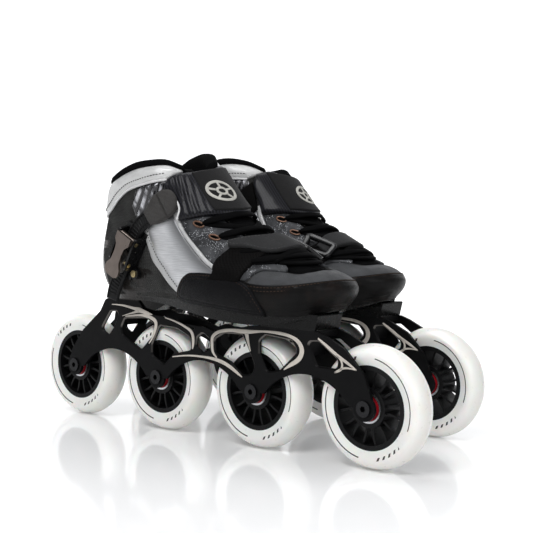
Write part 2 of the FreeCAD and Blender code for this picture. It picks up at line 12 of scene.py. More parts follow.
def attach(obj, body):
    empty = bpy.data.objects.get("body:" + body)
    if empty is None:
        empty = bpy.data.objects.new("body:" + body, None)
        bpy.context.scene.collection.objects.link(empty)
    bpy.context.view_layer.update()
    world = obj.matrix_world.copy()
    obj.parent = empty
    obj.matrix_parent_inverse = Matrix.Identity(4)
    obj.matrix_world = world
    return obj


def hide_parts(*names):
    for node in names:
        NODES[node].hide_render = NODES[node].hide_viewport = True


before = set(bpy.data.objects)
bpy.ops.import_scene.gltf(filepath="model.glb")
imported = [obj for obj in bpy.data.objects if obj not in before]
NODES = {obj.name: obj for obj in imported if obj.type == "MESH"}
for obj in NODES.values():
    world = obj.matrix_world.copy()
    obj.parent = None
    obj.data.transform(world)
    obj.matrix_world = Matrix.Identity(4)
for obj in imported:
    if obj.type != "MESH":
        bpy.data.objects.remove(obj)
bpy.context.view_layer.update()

MM = 0.001
WHEEL_PITCH = 105.0
AXLE_HEIGHT = 45.0
SHIELD_R = 9.4
PRINT_R = 36.2  # the thin line printed on the tyre
WALL_OUT = 15.0  # the frame wall's outer face
CAMERA_AT = (0.60248, -0.68722, 0.17910)
YAW, PITCH, ROLL = -0.708, 0.047, 0.012

# ---------------------------------------------------------------- where the two skates stand
# Pieces are worked out in millimetres for the right skate, with X to the toe, +Y to the inner side and Z up;
# the left skate is its mirror image.
STANCE = {"right": (15.6, -64.1, 1.0), "left": (-15.6, 64.1, -1.0)}


# ---------------------------------------------------------------- the boot's outer surface
# level, heel x, toe x, heel half width, ball half width, toe rounding
STATIONS = (
    (97, -102.5, 112, 22, 35, 55),
    (104, -105, 114.6, 24.8, 37.8, 56),
    (112, -108, 117, 28, 41, 58),
    (118, -113, 121.5, 31, 43.5, 58),
    (125, -117, 125, 32.5, 44.5, 58),
    (131, -119, 123, 33, 44, 60),
    (136, -120, 114, 33, 43, 64),
    (141, -120, 98, 33, 42, 70),
    (150, -119.5, 78, 33, 40, 76),
    (158, -118, 61, 33, 38, 76),
    (166, -116, 46, 33, 36.5, 68),
    (174, -113.5, 33, 33.5, 35.5, 60),
    (184, -110, 20, 34, 35, 54),
    (196, -106, 8, 35.5, 36, 50),
    (208, -102, -3, 37, 37.5, 46),
    (222, -98, -15, 38, 38.5, 44),
    (236, -94, -25, 38, 38.5, 32),
)
HEEL_ROUND = 34.0
TOE_SHIFT = 8.0
FLANK = 250.0  # millimetres along the boot for one unit of w


def spline(knots, values):
    """A natural cubic spline through the values, as a function."""
    k = np.array(knots, float)
    v = np.array(values, float)
    n = len(k)
    h = np.diff(k)
    a = np.eye(n)
    b = np.zeros(n)
    for i in range(1, n - 1):
        a[i, i - 1 : i + 2] = h[i - 1], 2 * (h[i - 1] + h[i]), h[i]
        b[i] = 6 * ((v[i + 1] - v[i]) / h[i] - (v[i] - v[i - 1]) / h[i - 1])
    m = np.linalg.solve(a, b)

    def at(x):
        x = np.asarray(x, float)
        i = np.clip(np.searchsorted(k, x) - 1, 0, n - 2)
        d = h[i]
        p = (k[i + 1] - x) / d
        q = (x - k[i]) / d
        return p * v[i] + q * v[i + 1] + ((p**3 - p) * m[i] + (q**3 - q) * m[i + 1]) * d * d / 6

    return at


LEVELS = [s[0] for s in STATIONS]
HEEL, TOE, HEEL_HALF, BALL_HALF, TOE_ROUND = (
    spline(LEVELS, [s[c] for s in STATIONS]) for c in range(1, 6)
)


def smooth(t):
    t = np.clip(t, 0.0, 1.0)
    return t * t * (3 - 2 * t)


def half_at(x, z):
    """Half the boot's width at a place along it and a level."""
    heel, toe, rounding = HEEL(z), TOE(z), TOE_ROUND(z)
    half = HEEL_HALF(z) + (BALL_HALF(z) - HEEL_HALF(z)) * smooth((x + 60) / 100)
    behind = np.maximum(heel + HEEL_ROUND - x, 0) / HEEL_ROUND
    ahead = np.maximum(x - toe + rounding, 0) / rounding
    return half * np.sqrt(np.clip(1 - behind**2, 0, 1)) * np.sqrt(np.clip(1 - ahead**2, 0, 1))


def middle_at(x):
    return TOE_SHIFT * smooth((x - 10) / 110)


def bare(w, z):
    """The boot's surface. w goes once round it: 0 heel, 0 to 1 outer side, 1 toe, 1 to 2 inner side."""
    w = np.mod(np.asarray(w, float), 2.0)
    z = np.asarray(z, float)
    x = HEEL(z) + (TOE(z) - HEEL(z)) * (1 - np.cos(np.pi * w)) / 2
    y = np.where(w < 1, -1.0, 1.0) * half_at(x, z) + middle_at(x)
    return np.stack(np.broadcast_arrays(x, y, z), -1)


def slopes(w, z):
    """How the surface moves with w and with z, and its outward normal."""
    step_w, step_z = 0.002, 0.25
    along = (bare(w + step_w, z) - bare(w - step_w, z)) / (2 * step_w)
    up = (bare(w, z + step_z) - bare(w, z - step_z)) / (2 * step_z)
    normal = np.cross(along, up)
    normal /= np.linalg.norm(normal, axis=-1, keepdims=True) + 1e-9
    return along, up, normal


def skin(w, z, out=0.0):
    """A point on the boot, out millimetres outside its surface."""
    w = np.asarray(w, float)
    z = np.asarray(z, float)
    normal = slopes(w, z)[2]
    return bare(w, z) + normal * np.asarray(out, float)[..., None]


def over(wz, out):
    """Points so far outside the boot at (w, z) places, and the normals there."""
    wz = np.asarray(wz, float)
    w, z = wz[..., 0], wz[..., 1]
    return skin(w, z, out), slopes(w, z)[2]


def outer(x, z):
    """(w, z) of a point seen from the outer side."""
    share = 1 - 2 * (x - HEEL(z)) / (TOE(z) - HEEL(z))
    return float(np.arccos(np.clip(share, -1, 1)) / np.pi), float(z)


def inner(x, z):
    """(w, z) of a point seen from the inner side, w counted past the toe."""
    w, z = outer(x, z)
    return 2 - w, z


def behind(x, z):
    """(w, z) of a point on the inner side, w counted back past the heel."""
    w, z = outer(x, z)
    return -w, z


def above(x, y):
    """(w, z) of a point seen from above, on the front of the boot."""
    low, high = 120.0, 236.0
    for _ in range(40):
        z = (low + high) / 2
        if TOE(z) > x and half_at(x, z) > abs(y - middle_at(x)):
            low = z
        else:
            high = z
    w, z = outer(x, low)
    return (w, z) if y < middle_at(x) else (2 - w, z)


def front(offset, z):
    """(w, z) at a level, offset millimetres to the side of the boot's middle, near its front."""
    low, high = 0.5, 1.0
    for _ in range(40):
        w = (low + high) / 2
        x = float(bare(w, z)[0])
        if half_at(x, z) > abs(offset):
            low = w
        else:
            high = w
    return (low, float(z)) if offset < 0 else (2 - low, float(z))


def lift(x, z):
    """The inner side's seams stand a little higher and further forward than the outer side's."""
    share = float(smooth((z - 130) / 90) * smooth((x + 108) / 45))
    share *= 1 - 0.5 * float(smooth((x + 48) / 30) * smooth((z - 195) / 15))
    return x + 4 * float(smooth((z - 130) / 20) * smooth((200 - z) / 20)), z + 9 * share


# ---------------------------------------------------------------- outlines
def running(points):
    """How far along a line each of its points lies."""
    return np.concatenate([[0], np.cumsum(np.linalg.norm(np.diff(points, axis=0), axis=1))])


def curve(points, gap=0.8):
    """A smooth line through (w, z) points, in steps of about gap millimetres."""
    p = np.array(points, float)
    knots = np.concatenate([[0], np.cumsum(lengths(p))])
    fine = np.linspace(0, knots[-1], max(2, int(knots[-1] / gap) + 1))
    if len(p) == 2:
        return np.stack([np.interp(fine, knots, p[:, c]) for c in range(2)], -1)
    tangents = np.gradient(p, knots, axis=0)
    i = np.clip(np.searchsorted(knots, fine) - 1, 0, len(p) - 2)
    h = (knots[i + 1] - knots[i])[:, None]
    t = ((fine - knots[i]) / h[:, 0])[:, None]
    return (
        (2 * t**3 - 3 * t**2 + 1) * p[i]
        + (t**3 - 2 * t**2 + t) * h * tangents[i]
        + (3 * t**2 - 2 * t**3) * p[i + 1]
        + (t**3 - t**2) * h * tangents[i + 1]
    )


def lengths(p):
    """Rough lengths on the boot between neighbouring (w, z) points."""
    q = bare(p[:, 0], p[:, 1])
    return np.maximum(np.linalg.norm(np.diff(q, axis=0), axis=1), 0.01)


def loop(*edges):
    """A closed outline made of smooth edges that meet at corners."""
    return np.concatenate([curve(e)[:-1] for e in edges])


def between(a, b):
    """A closed outline along one edge and on along another, with straight ends."""
    return loop(a, [a[-1], b[0]], b, [b[-1], a[0]])


def within(points, polygon):
    """Which (w, z) points lie inside the closed outline."""
    x, z = points[:, 0][:, None], points[:, 1][:, None]
    a, b = polygon, np.roll(polygon, -1, axis=0)
    crosses = (a[:, 1] > z) != (b[:, 1] > z)
    rise = np.where(b[:, 1] == a[:, 1], 1e-12, b[:, 1] - a[:, 1])
    at = a[:, 0] + (z - a[:, 1]) / rise * (b[:, 0] - a[:, 0])
    return (crosses & (x < at)).sum(1) % 2 == 1


def inset(polygon, distance):
    """The outline moved inwards on the surface, without the points that come too near another edge."""
    along, up, normal = slopes(polygon[:, 0], polygon[:, 1])
    p = bare(polygon[:, 0], polygon[:, 1])
    tangent = np.roll(p, -1, axis=0) - np.roll(p, 1, axis=0)
    across = np.cross(normal, tangent)
    across /= np.linalg.norm(across, axis=1, keepdims=True) + 1e-9
    area = np.sum(polygon[:, 0] * np.roll(polygon[:, 1], -1) - np.roll(polygon[:, 0], -1) * polygon[:, 1])
    across *= np.sign(area) * distance
    aa, au, uu = (np.sum(s * t, 1) for s, t in ((along, along), (along, up), (up, up)))
    ra, ru = np.sum(across * along, 1), np.sum(across * up, 1)
    det = aa * uu - au * au
    moved = polygon + np.stack([(ra * uu - ru * au) / det, (ru * aa - ra * au) / det], -1)
    tree = tree_of(p)
    q = bare(moved[:, 0], moved[:, 1])
    far = np.array([tree.find(c)[2] > abs(distance) * 0.9 for c in q])
    return moved, far & within(moved, polygon)


def tree_of(points):
    tree = KDTree(len(points))
    for i, c in enumerate(points):
        tree.insert(c, i)
    tree.balance()
    return tree


# ---------------------------------------------------------------- making objects
def place(name, side, points, faces, finish, slot, uv=None):
    """One object for one skate, from right-skate millimetres."""
    x, y, flip = STANCE[side]
    placed = (np.asarray(points, float) * (1, flip, 1) + (x, y, 0)) * MM
    if flip < 0:
        faces = [tuple(reversed(f)) for f in faces]
    mesh = bpy.data.meshes.new(side + "_" + name)
    mesh.from_pydata(placed.tolist(), [], [tuple(int(i) for i in f) for f in faces])
    mesh.materials.append(finish)
    mesh.polygons.foreach_set("use_smooth", [True] * len(mesh.polygons))
    if uv is not None:
        layer = mesh.uv_layers.new(name="UVMap")
        corner = np.zeros(len(mesh.loops), np.int32)
        mesh.loops.foreach_get("vertex_index", corner)
        layer.data.foreach_set("uv", (np.asarray(uv, float)[corner] * 0.1).ravel())
    mesh.update()
    piece = bpy.data.objects.new(side + "_" + name, mesh)
    bpy.context.scene.collection.objects.link(piece)
    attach(piece, side + "_skate")
    return piece


def both(name, points, faces, finish, slot, stands_for=None, **more):
    """The piece on both skates, in a finish by its name; stands_for lists the CAD nodes it hides."""
    made = []
    for side in STANCE:
        piece = place(name, side, points, faces, SKATE_FINISH[finish], slot, **more)
        if stands_for:
            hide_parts(*[side + "_" + n for n in stands_for])
        made.append(piece)
    return made


class Panel:
    """A closed panel that lies on the boot inside an outline, with a rounded edge and a crowned middle.

    Its edge stands from out to out + rise over the boot, rounded over edge millimetres; the middle rises
    by crown more over about reach. The back is sunk below the edge's foot. step is the mesh's spacing, and
    relief adds a height for each (w, z) point at its distance from the outline.
    """

    def __init__(self, outline, out, rise, edge=1.0, crown=0.0, reach=9.0, sink=1.0, step=2.0, relief=None):
        self.outline = outline
        rings = [outline]
        for share in (0.12, 0.45, 1.0, 1.9):
            moved, good = inset(outline, share * edge)
            rings.append(moved[good])
        low, high = outline.min(0), outline.max(0)
        rows = [low[1]]
        while rows[-1] < high[1]:
            slope = np.linalg.norm(slopes((low[0] + high[0]) / 2, rows[-1])[1])
            rows.append(rows[-1] + max(0.35, step / min(slope, 4)))
        columns = np.arange(low[0], high[0], step / FLANK)
        grid = np.stack(np.meshgrid(columns, rows), -1)
        grid[1::2, :, 0] += step / FLANK / 2
        grid = grid.reshape(-1, 2)
        grid = grid[within(grid, outline)]
        self.tree = tree_of(bare(outline[:, 0], outline[:, 1]))
        near = self.depth(grid)
        rings.append(grid[near > 1.9 * edge + 0.4 * step])
        flat = np.concatenate(rings)
        n = len(outline)
        ring = [(i, (i + 1) % n) for i in range(n)]
        scaled = [Vector((w * FLANK, z)) for w, z in flat]
        verts, _, faces, _, _, _ = delaunay_2d_cdt(scaled, ring, [], 1, 1e-4)
        wz = np.array([(v[0] / FLANK, v[1]) for v in verts])
        d = self.depth(wz)
        t = np.clip(d / edge, 0, 1)
        height = out + rise * np.sqrt(1 - (1 - t) ** 2) + crown * (1 - np.exp(-d / reach * 1.6))
        if relief is not None:
            height = height + relief(wz, d)
        normal = slopes(wz[:, 0], wz[:, 1])[2]
        base = bare(wz[:, 0], wz[:, 1])
        top = base + normal * height[:, None]
        back = base + normal * (out - sink)
        count = len(wz)
        tris = []
        for f in faces:
            a, b, c = (base[i] for i in f[:3])
            facing = np.dot(np.cross(b - a, c - a), normal[f[0]]) > 0
            tris.append(tuple(f) if facing else tuple(reversed(f)))
        edges = {(i, j): True for f in tris for i, j in zip(f, f[1:] + f[:1])}
        walls = [(j, i, i + count, j + count) for i, j in edges if (j, i) not in edges]
        self.points = np.concatenate([top, back])
        self.faces = tris + [tuple(i + count for i in reversed(f)) for f in tris] + walls
        self.uv = np.concatenate([wz * (FLANK, 1)] * 2)

    def depth(self, wz):
        return np.array([self.tree.find(c)[2] for c in bare(wz[:, 0], wz[:, 1])])


def resample(points, gap):
    """Points evenly spaced along a line in space, with a whole number of gaps."""
    p = np.asarray(points, float)
    run = running(p)
    count = max(2, int(round(run[-1] / gap)) + 1)
    at = np.linspace(0, run[-1], count)
    return np.stack([np.interp(at, run, p[:, c]) for c in range(3)], -1)


def tube_faces(n, m):
    """Faces of n rings of m points, closed by a face at either end."""
    sides = [(i * m + j, i * m + (j + 1) % m, (i + 1) * m + (j + 1) % m, (i + 1) * m + j)
             for i in range(n - 1) for j in range(m)]
    return sides + [tuple(reversed(range(m))), tuple((n - 1) * m + j for j in range(m))]


def sweep(path, normals, profile, closed=False):
    """A profile, (across, up) pairs, carried along a path; closed at its ends, or all round."""
    path = np.asarray(path, float)
    normals = np.asarray(normals, float)
    tangent = np.gradient(path, axis=0)
    if closed:
        tangent = np.roll(path, -1, axis=0) - np.roll(path, 1, axis=0)
    tangent /= np.linalg.norm(tangent, axis=1, keepdims=True) + 1e-9
    across = np.cross(normals, tangent)
    across /= np.linalg.norm(across, axis=1, keepdims=True) + 1e-9
    lift_axis = np.cross(tangent, across)
    profile = np.asarray(profile, float)
    if profile.ndim == 2:
        profile = np.broadcast_to(profile, (len(path),) + profile.shape)
    points = path[:, None] + across[:, None] * profile[..., :1] + lift_axis[:, None] * profile[..., 1:]
    n, m = points.shape[:2]
    faces = tube_faces(n, m)
    if closed:
        last = (n - 1) * m
        faces = faces[:-2] + [(last + j, last + (j + 1) % m, (j + 1) % m, j) for j in range(m)]
    return points.reshape(-1, 3), faces


def round_profile(radius, sides=8, flat=1.0):
    turn = 2 * np.pi * np.arange(sides) / sides
    return np.stack([-radius * np.cos(turn), radius * flat * np.sin(turn)], -1)


def flat_profile(width, thick, corner=0.35):
    """A strap's section: a flat bar with rounded corners."""
    w, t = width / 2, thick / 2
    c = min(corner, t * 0.9)
    ring = []
    for sx, sy, start in ((1, 1, 0), (-1, 1, 90), (-1, -1, 180), (1, -1, 270)):
        for a in (0, 45, 90):
            r = math.radians(start + a)
            ring.append((sx * (w - c) + c * math.cos(r), sy * (t - c) + c * math.sin(r)))
    return np.array(ring)[::-1]


def join(parts):
    """Several (points, faces) as one."""
    points, faces, start = [], [], 0
    for p, f in parts:
        points.append(np.asarray(p, float))
        faces += [tuple(i + start for i in face) for face in f]
        start += len(p)
    return np.concatenate(points), faces


def stitch_row(wz, out, pitch=2.7, length=1.9, radius=0.34):
    """Thread seen as short rounded lengths in a row along the boot."""
    points, there = over(wz, out)
    line = resample(points, pitch / 3)
    shares, at = np.linspace(0, 1, len(line)), np.linspace(0, 1, len(points))
    normals = np.stack([np.interp(shares, at, c) for c in there.T], -1)
    parts = []
    for i in range(1, len(line) - 1, 3):
        tangent = line[i + 1] - line[i - 1]
        tangent /= np.linalg.norm(tangent) + 1e-9
        share = np.array([-1, -0.8, -0.35, 0.35, 0.8, 1])
        path = line[i] + tangent * (share * length / 2)[:, None]
        path = path - normals[i] * (0.5 * share**4)[:, None]
        size = np.sqrt(np.clip(1.05 - share**2, 0.05, 1))[:, None, None]
        parts.append(sweep(path, [normals[i]] * 6, round_profile(radius, 6)[None] * size))
    return join(parts)


def piping(wz, out, radius):
    """A round cord sewn along a line on the boot."""
    return sweep(*over(wz, out), round_profile(radius))


# ---------------------------------------------------------------- materials
CREAM = (0.80, 0.77, 0.68)
INK = (0.012, 0.012, 0.013)


class Finish:
    """A procedural material; its texture space is in millimetres, on the object or along the boot."""

    def __init__(self, name, colour, roughness, **shader):
        self.material = bpy.data.materials.new(name)
        self.material.use_nodes = True
        self.tree = self.material.node_tree
        self.shader = self.tree.nodes["Principled BSDF"]
        self.set("Base Color", colour)
        self.set("Roughness", roughness)
        for socket, value in shader.items():
            self.set(socket.replace("_", " "), value)

    def set(self, socket, value):
        self.feed(self.shader.inputs[socket], value)

    def feed(self, socket, value):
        if isinstance(value, bpy.types.NodeSocket):
            self.tree.links.new(value, socket)
        elif isinstance(value, (tuple, list)) and len(value) == 3 and socket.type == "RGBA":
            socket.default_value = (*value, 1.0)
        else:
            socket.default_value = value

    def node(self, kind, inputs=None, **settings):
        made = self.tree.nodes.new("ShaderNode" + kind)
        for key, value in settings.items():
            setattr(made, key, value)
        for socket, value in (inputs or {}).items():
            self.feed(made.inputs[socket], value)
        return made

    def space(self, kind="Object", scale=(1, 1, 1), turn=(0, 0, 0)):
        """Coordinates in millimetres: on the object, or UV, along and up the boot."""
        to_mm = 10.0 if kind == "UV" else 1000.0
        source = self.node("TexCoord").outputs[kind]
        sizes = tuple(to_mm * s for s in scale)
        return self.node("Mapping", {"Vector": source, "Scale": sizes, "Rotation": turn}).outputs[0]

    def calc(self, operation, a, b=0.0, c=0.0):
        return self.node("Math", {0: a, 1: b, 2: c}, operation=operation).outputs[0]

    def times(self, a, b):
        return self.calc("MULTIPLY", a, b)

    def sine(self, a):
        return self.calc("SINE", a)

    def parts(self, vector):
        return self.node("SeparateXYZ", {0: vector}).outputs

    def noise(self, size, detail=3.0, where=None, rough=0.5):
        where = where or self.space()
        inputs = {"Vector": where, "Scale": 1.0 / size, "Detail": detail, "Roughness": rough}
        return self.node("TexNoise", inputs).outputs[0]

    def cells(self, size, feature="DISTANCE_TO_EDGE"):
        inputs = {"Vector": self.space(), "Scale": 1.0 / size}
        return self.node("TexVoronoi", inputs, feature=feature).outputs[0]

    def ramp(self, value, low, high, to_low=0.0, to_high=1.0):
        inputs = {0: value, 1: low, 2: high, 3: to_low, 4: to_high}
        return self.node("MapRange", inputs).outputs[0]

    def mix(self, share, a, b):
        made = self.node("Mix", data_type="RGBA")
        self.feed(made.inputs[0], share)
        self.feed(made.inputs[6], a)
        self.feed(made.inputs[7], b)
        return made.outputs[2]

    def bump(self, height, depth, under=None):
        """Relief of so many millimetres, on top of another one."""
        inputs = {"Height": height, "Distance": depth * MM}
        if under is not None:
            inputs["Normal"] = under
        normal = self.node("Bump", inputs).outputs[0]
        self.set("Normal", normal)
        return normal

    def weave(self, pitch, where, twill=False):
        """A woven height field: threads over and under each other, one pitch apart."""
        u, v, _ = self.parts(where)
        u = self.calc("DIVIDE", u, pitch)
        v = self.calc("DIVIDE", v, pitch)
        count = self.calc("ADD", self.calc("FLOOR", u), self.calc("FLOOR", v))
        period = 4.0 if twill else 2.0
        above = self.calc("LESS_THAN", self.calc("FLOORED_MODULO", count, period), period / 2)
        across = self.calc("ABSOLUTE", self.sine(self.times(u, math.pi)))
        down = self.calc("ABSOLUTE", self.sine(self.times(v, math.pi)))
        first = self.times(above, across)
        second = self.times(self.calc("SUBTRACT", 1.0, above), down)
        return above, self.calc("ADD", first, second)


def darker(colour, share):
    return tuple(c * share for c in colour)


def leather(name, colour, roughness, grain, depth, spread, wear=None, **shader):
    """Grained leather with soft creases; spread is how far its tone wanders, wear the tone of worn spots."""
    f = Finish(name, colour, roughness, **shader)
    patch = f.noise(14.0, 4.0)
    tint = f.mix(f.ramp(patch, 0.35, 0.68), darker(colour, 1 - spread), darker(colour, 1 + spread))
    if wear:
        tint = f.mix(f.ramp(f.noise(22.0, 6.0, rough=0.65), 0.5, 0.72), tint, wear)
    f.set("Base Color", tint)
    f.set("Roughness", f.ramp(f.noise(5.0, 3.0), 0.2, 0.8, roughness - 0.07, roughness + 0.1))
    pores = f.ramp(f.cells(grain), 0.0, 0.18)
    crease = f.bump(f.noise(7.0, 3.0), depth * 3)
    f.bump(pores, depth, crease)
    return f.material


def fabric(name, colour, pitch, depth, roughness=0.85, light=1.5, turn=0.0):
    """Woven cloth, its threads a pitch apart and turned by so many radians."""
    f = Finish(name, colour, roughness, Specular_IOR_Level=0.06)
    height = f.weave(pitch, f.space("UV", turn=(0, 0, turn)))[1]
    # painted light and shade: threads lighter on top, darker in the dips between them
    shade = f.mix(f.ramp(height, 0.1, 0.9), darker(colour, 0.45), darker(colour, light))
    worn = f.mix(f.ramp(f.noise(16.0), 0.35, 0.7), shade, darker(colour, 0.8))
    f.set("Base Color", worn)
    f.bump(f.noise(0.5), 0.08, f.bump(height, depth))
    return f.material


def twill(name, pitch, bright, coat):
    """Dark twill under a clear coat."""
    f = Finish(name, INK, 0.34, Coat_Weight=coat, Coat_Roughness=0.12, Specular_IOR_Level=0.15)
    top, height = f.weave(pitch, f.space("UV", turn=(0.0, 0.0, math.radians(45))), twill=True)
    tone = f.mix(top, (0.007, 0.007, 0.008), bright)
    # painted shade: darker in the dips of the weave
    f.set("Base Color", f.mix(f.ramp(height, 0.0, 0.7), (0.004, 0.004, 0.005), tone))
    f.set("Roughness", f.ramp(top, 0.0, 1.0, 0.28, 0.46))
    f.bump(height, 0.05)
    return f.material


def shell_finish():
    """Moulded sole and heel cup: black in front, and at the heel warm grey in cloudy patches, painted
    reflection on the glossy cup.
    """
    f = Finish("shell_moulding", (0.006, 0.006, 0.006), 0.3, Specular_IOR_Level=0.2, Coat_Weight=0.1,
               Coat_Roughness=0.08)
    x, _, z = f.parts(f.space())
    heel = f.ramp(f.calc("MULTIPLY_ADD", z, -0.6, x), -95.0, -135.0)
    cloud = f.noise(26.0, 4.0)
    # painted reflection: cloudy warm grey patches where the glossy heel cup reflects the room
    heel_painted_reflection = f.mix(f.ramp(cloud, 0.35, 0.65), (0.012, 0.011, 0.010), (0.062, 0.055, 0.051))
    black = f.mix(cloud, (0.002, 0.002, 0.002), (0.004, 0.004, 0.004))
    f.set("Base Color", f.mix(heel, black, heel_painted_reflection))
    f.set("Roughness", f.ramp(f.noise(4.0, 4.0), 0.25, 0.75, 0.2, 0.36))
    f.bump(f.noise(6.0, 2.0), 0.02)
    return f.material


def plastic(name, colour, roughness, texture=0.05, grain=0.7, **shader):
    """Moulded plastic with a fine texture."""
    f = Finish(name, colour, roughness, **shader)
    f.set("Base Color", f.mix(f.noise(9.0, 4.0), darker(colour, 0.8), darker(colour, 1.25)))
    f.set("Roughness", f.ramp(f.noise(3.5, 4.0), 0.25, 0.75, roughness - 0.08, roughness + 0.12))
    f.bump(f.noise(grain, 2.0), texture)
    return f.material


def metal(name, colour, roughness, stretch=(1, 1, 12)):
    """Brushed metal; the brush marks run along the stretched axes."""
    f = Finish(name, colour, roughness, Metallic=1.0)
    marks = f.noise(0.5, 3.0, f.space(scale=tuple(1.0 / s for s in stretch)))
    f.set("Base Color", f.mix(f.noise(6.0, 3.0), darker(colour, 0.82), darker(colour, 1.1)))
    f.set("Roughness", f.ramp(marks, 0.3, 0.7, roughness - 0.07, roughness + 0.12))
    f.bump(marks, 0.02)
    return f.material


def frame_finish():
    """Matt black frame with pale bevels along the windows' upper edges; the lower edges' bevels stay black as
    painted shade.
    """
    f = Finish("frame_paint", INK, 0.42, Specular_IOR_Level=0.12)
    facing = f.parts(f.node("TexCoord").outputs["Normal"])
    slanted = f.calc("ABSOLUTE", facing[1])
    bevel = f.times(f.calc("GREATER_THAN", slanted, 0.3), f.calc("LESS_THAN", slanted, 0.93))
    # painted shade: the pale paint is kept off the bevels that face up, along the windows' lower edges
    bevel_out_of_painted_shade = f.ramp(facing[2], 0.1, -0.25)
    black = f.mix(f.noise(12.0, 4.0), (0.0045, 0.0045, 0.005), (0.009, 0.009, 0.0095))
    f.set("Base Color", f.mix(f.times(bevel, bevel_out_of_painted_shade), black, (0.16, 0.15, 0.14)))
    f.set("Roughness", f.ramp(f.noise(4.0, 4.0), 0.3, 0.7, 0.34, 0.5))
    f.bump(f.noise(0.8), 0.03)
    return f.material


def round_axles(f, side):
    """Where a point lies round its wheel's axle: ahead, up and its radius."""
    x, _, z = f.parts(f.space())
    start = STANCE[side][0] - WHEEL_PITCH * 2
    along = f.calc("FLOORED_MODULO", f.calc("SUBTRACT", x, start), WHEEL_PITCH)
    ahead = f.calc("SUBTRACT", along, WHEEL_PITCH / 2)
    up = f.calc("SUBTRACT", z, AXLE_HEIGHT)
    radius = f.calc("SQRT", f.calc("ADD", f.times(ahead, ahead), f.times(up, up)))
    return ahead, up, radius


def tyre_finish(side):
    """Cream urethane with two thin dark arcs and two groups of slanted dashes on each face."""
    f = Finish(side + "_urethane", CREAM, 0.32, Subsurface_Weight=0.25, Subsurface_Scale=0.004,
               Coat_Weight=0.3)
    ahead, up, radius = round_axles(f, side)
    angle = f.calc("ARCTAN2", up, ahead)
    ring = f.calc("COMPARE", radius, PRINT_R, 0.42)
    arcs = f.calc("GREATER_THAN", f.sine(f.calc("MULTIPLY_ADD", angle, 2.0, 0.5)), -0.15)
    slanted = f.calc("MULTIPLY_ADD", radius, 0.9, f.times(angle, 44.0))
    dash = f.calc("GREATER_THAN", f.sine(slanted), 0.35)
    band = f.calc("COMPARE", radius, PRINT_R, 1.1)
    group = f.calc("GREATER_THAN", f.sine(f.calc("MULTIPLY_ADD", angle, 2.0, 3.64)), 0.8)
    dashes = f.times(f.times(band, dash), group)
    print_mask = f.calc("MAXIMUM", f.times(ring, arcs), dashes)
    cream = f.mix(f.noise(18.0, 3.0), (0.83, 0.825, 0.79), (0.89, 0.885, 0.86))
    # painted shade: greyer towards the tyre's rounded outer edge
    tyre_edge_painted_shade = f.mix(f.ramp(radius, 41.5, 45.0, 0.0, 0.25), cream, (0.45, 0.43, 0.38))
    f.set("Base Color", f.mix(print_mask, tyre_edge_painted_shade, (0.05, 0.05, 0.05)))
    f.set("Roughness", f.ramp(f.noise(3.0, 4.0), 0.3, 0.7, 0.26, 0.42))
    f.bump(f.noise(1.2, 3.0), 0.02)
    return f.material


def bearing_finish(side):
    """Red dust shield inside a steel outer ring."""
    f = Finish(side + "_bearing", (0.4, 0.02, 0.03), 0.3, Coat_Weight=0.2)
    _, _, radius = round_axles(f, side)
    steel = f.calc("GREATER_THAN", radius, SHIELD_R)
    red = f.mix(f.noise(1.5, 3.0), (0.30, 0.008, 0.015), (0.52, 0.02, 0.035))
    f.set("Base Color", f.mix(steel, red, (0.62, 0.62, 0.64)))
    f.set("Metallic", steel)
    f.set("Roughness", f.ramp(f.noise(1.0, 3.0), 0.3, 0.7, 0.24, 0.38))
    f.bump(f.sine(f.times(radius, 4.0)), 0.03)
    return f.material


def pleat_finish():
    """Patent leather in narrow folds: painted highlight in silver streaks on the crests, painted shade in
    black between them.
    """
    f = Finish("patent_folds", (0.1, 0.1, 0.11), 0.16, Coat_Weight=1.0, Coat_Roughness=0.04, Metallic=0.55)
    height = f.node("Attribute", attribute_name="crest").outputs["Fac"]
    painted_glint_streak = f.noise(9.0, 3.0, f.space("UV", scale=(1.0, 0.35, 1.0)))
    # painted highlight: silver glint streaks on the fold crests, black painted shade in the dips
    crest = f.mix(f.ramp(painted_glint_streak, 0.47, 0.62), (0.035, 0.035, 0.04), (0.55, 0.55, 0.58))
    f.set("Base Color", f.mix(f.ramp(height, 0.25, 0.75), (0.012, 0.012, 0.014), crest))
    f.bump(f.noise(1.0, 2.0), 0.05)
    return f.material


def silver_finish():
    """Metallic silver sheeting with fine level lines and a frosting of bright flecks; painted highlight in
    its middle, painted shade at its edges.
    """
    f = Finish("silver_sheet", (0.4, 0.4, 0.41), 0.36, Metallic=0.8, Coat_Weight=0.1)
    lines = f.noise(0.6, 2.0, f.space("UV", scale=(0.05, 1.0, 1.0)))
    flecks = f.ramp(f.cells(0.55, feature="F1"), 0.12, 0.0)
    tone = f.mix(f.noise(16.0, 3.0), (0.78, 0.785, 0.80), (0.94, 0.945, 0.96))
    # painted highlight and shade: bright in the panel's middle, dark towards its edges, by the crest values
    tone = f.mix(f.node("Attribute", attribute_name="crest").outputs["Fac"], (0.22, 0.222, 0.23), tone)
    f.set("Base Color", f.mix(f.ramp(lines, 0.4, 0.6, 0.0, 0.25), tone, (0.3, 0.3, 0.31)))
    f.set("Roughness", f.ramp(flecks, 0.0, 1.0, 0.40, 0.2))
    f.bump(lines, 0.06)
    return f.material


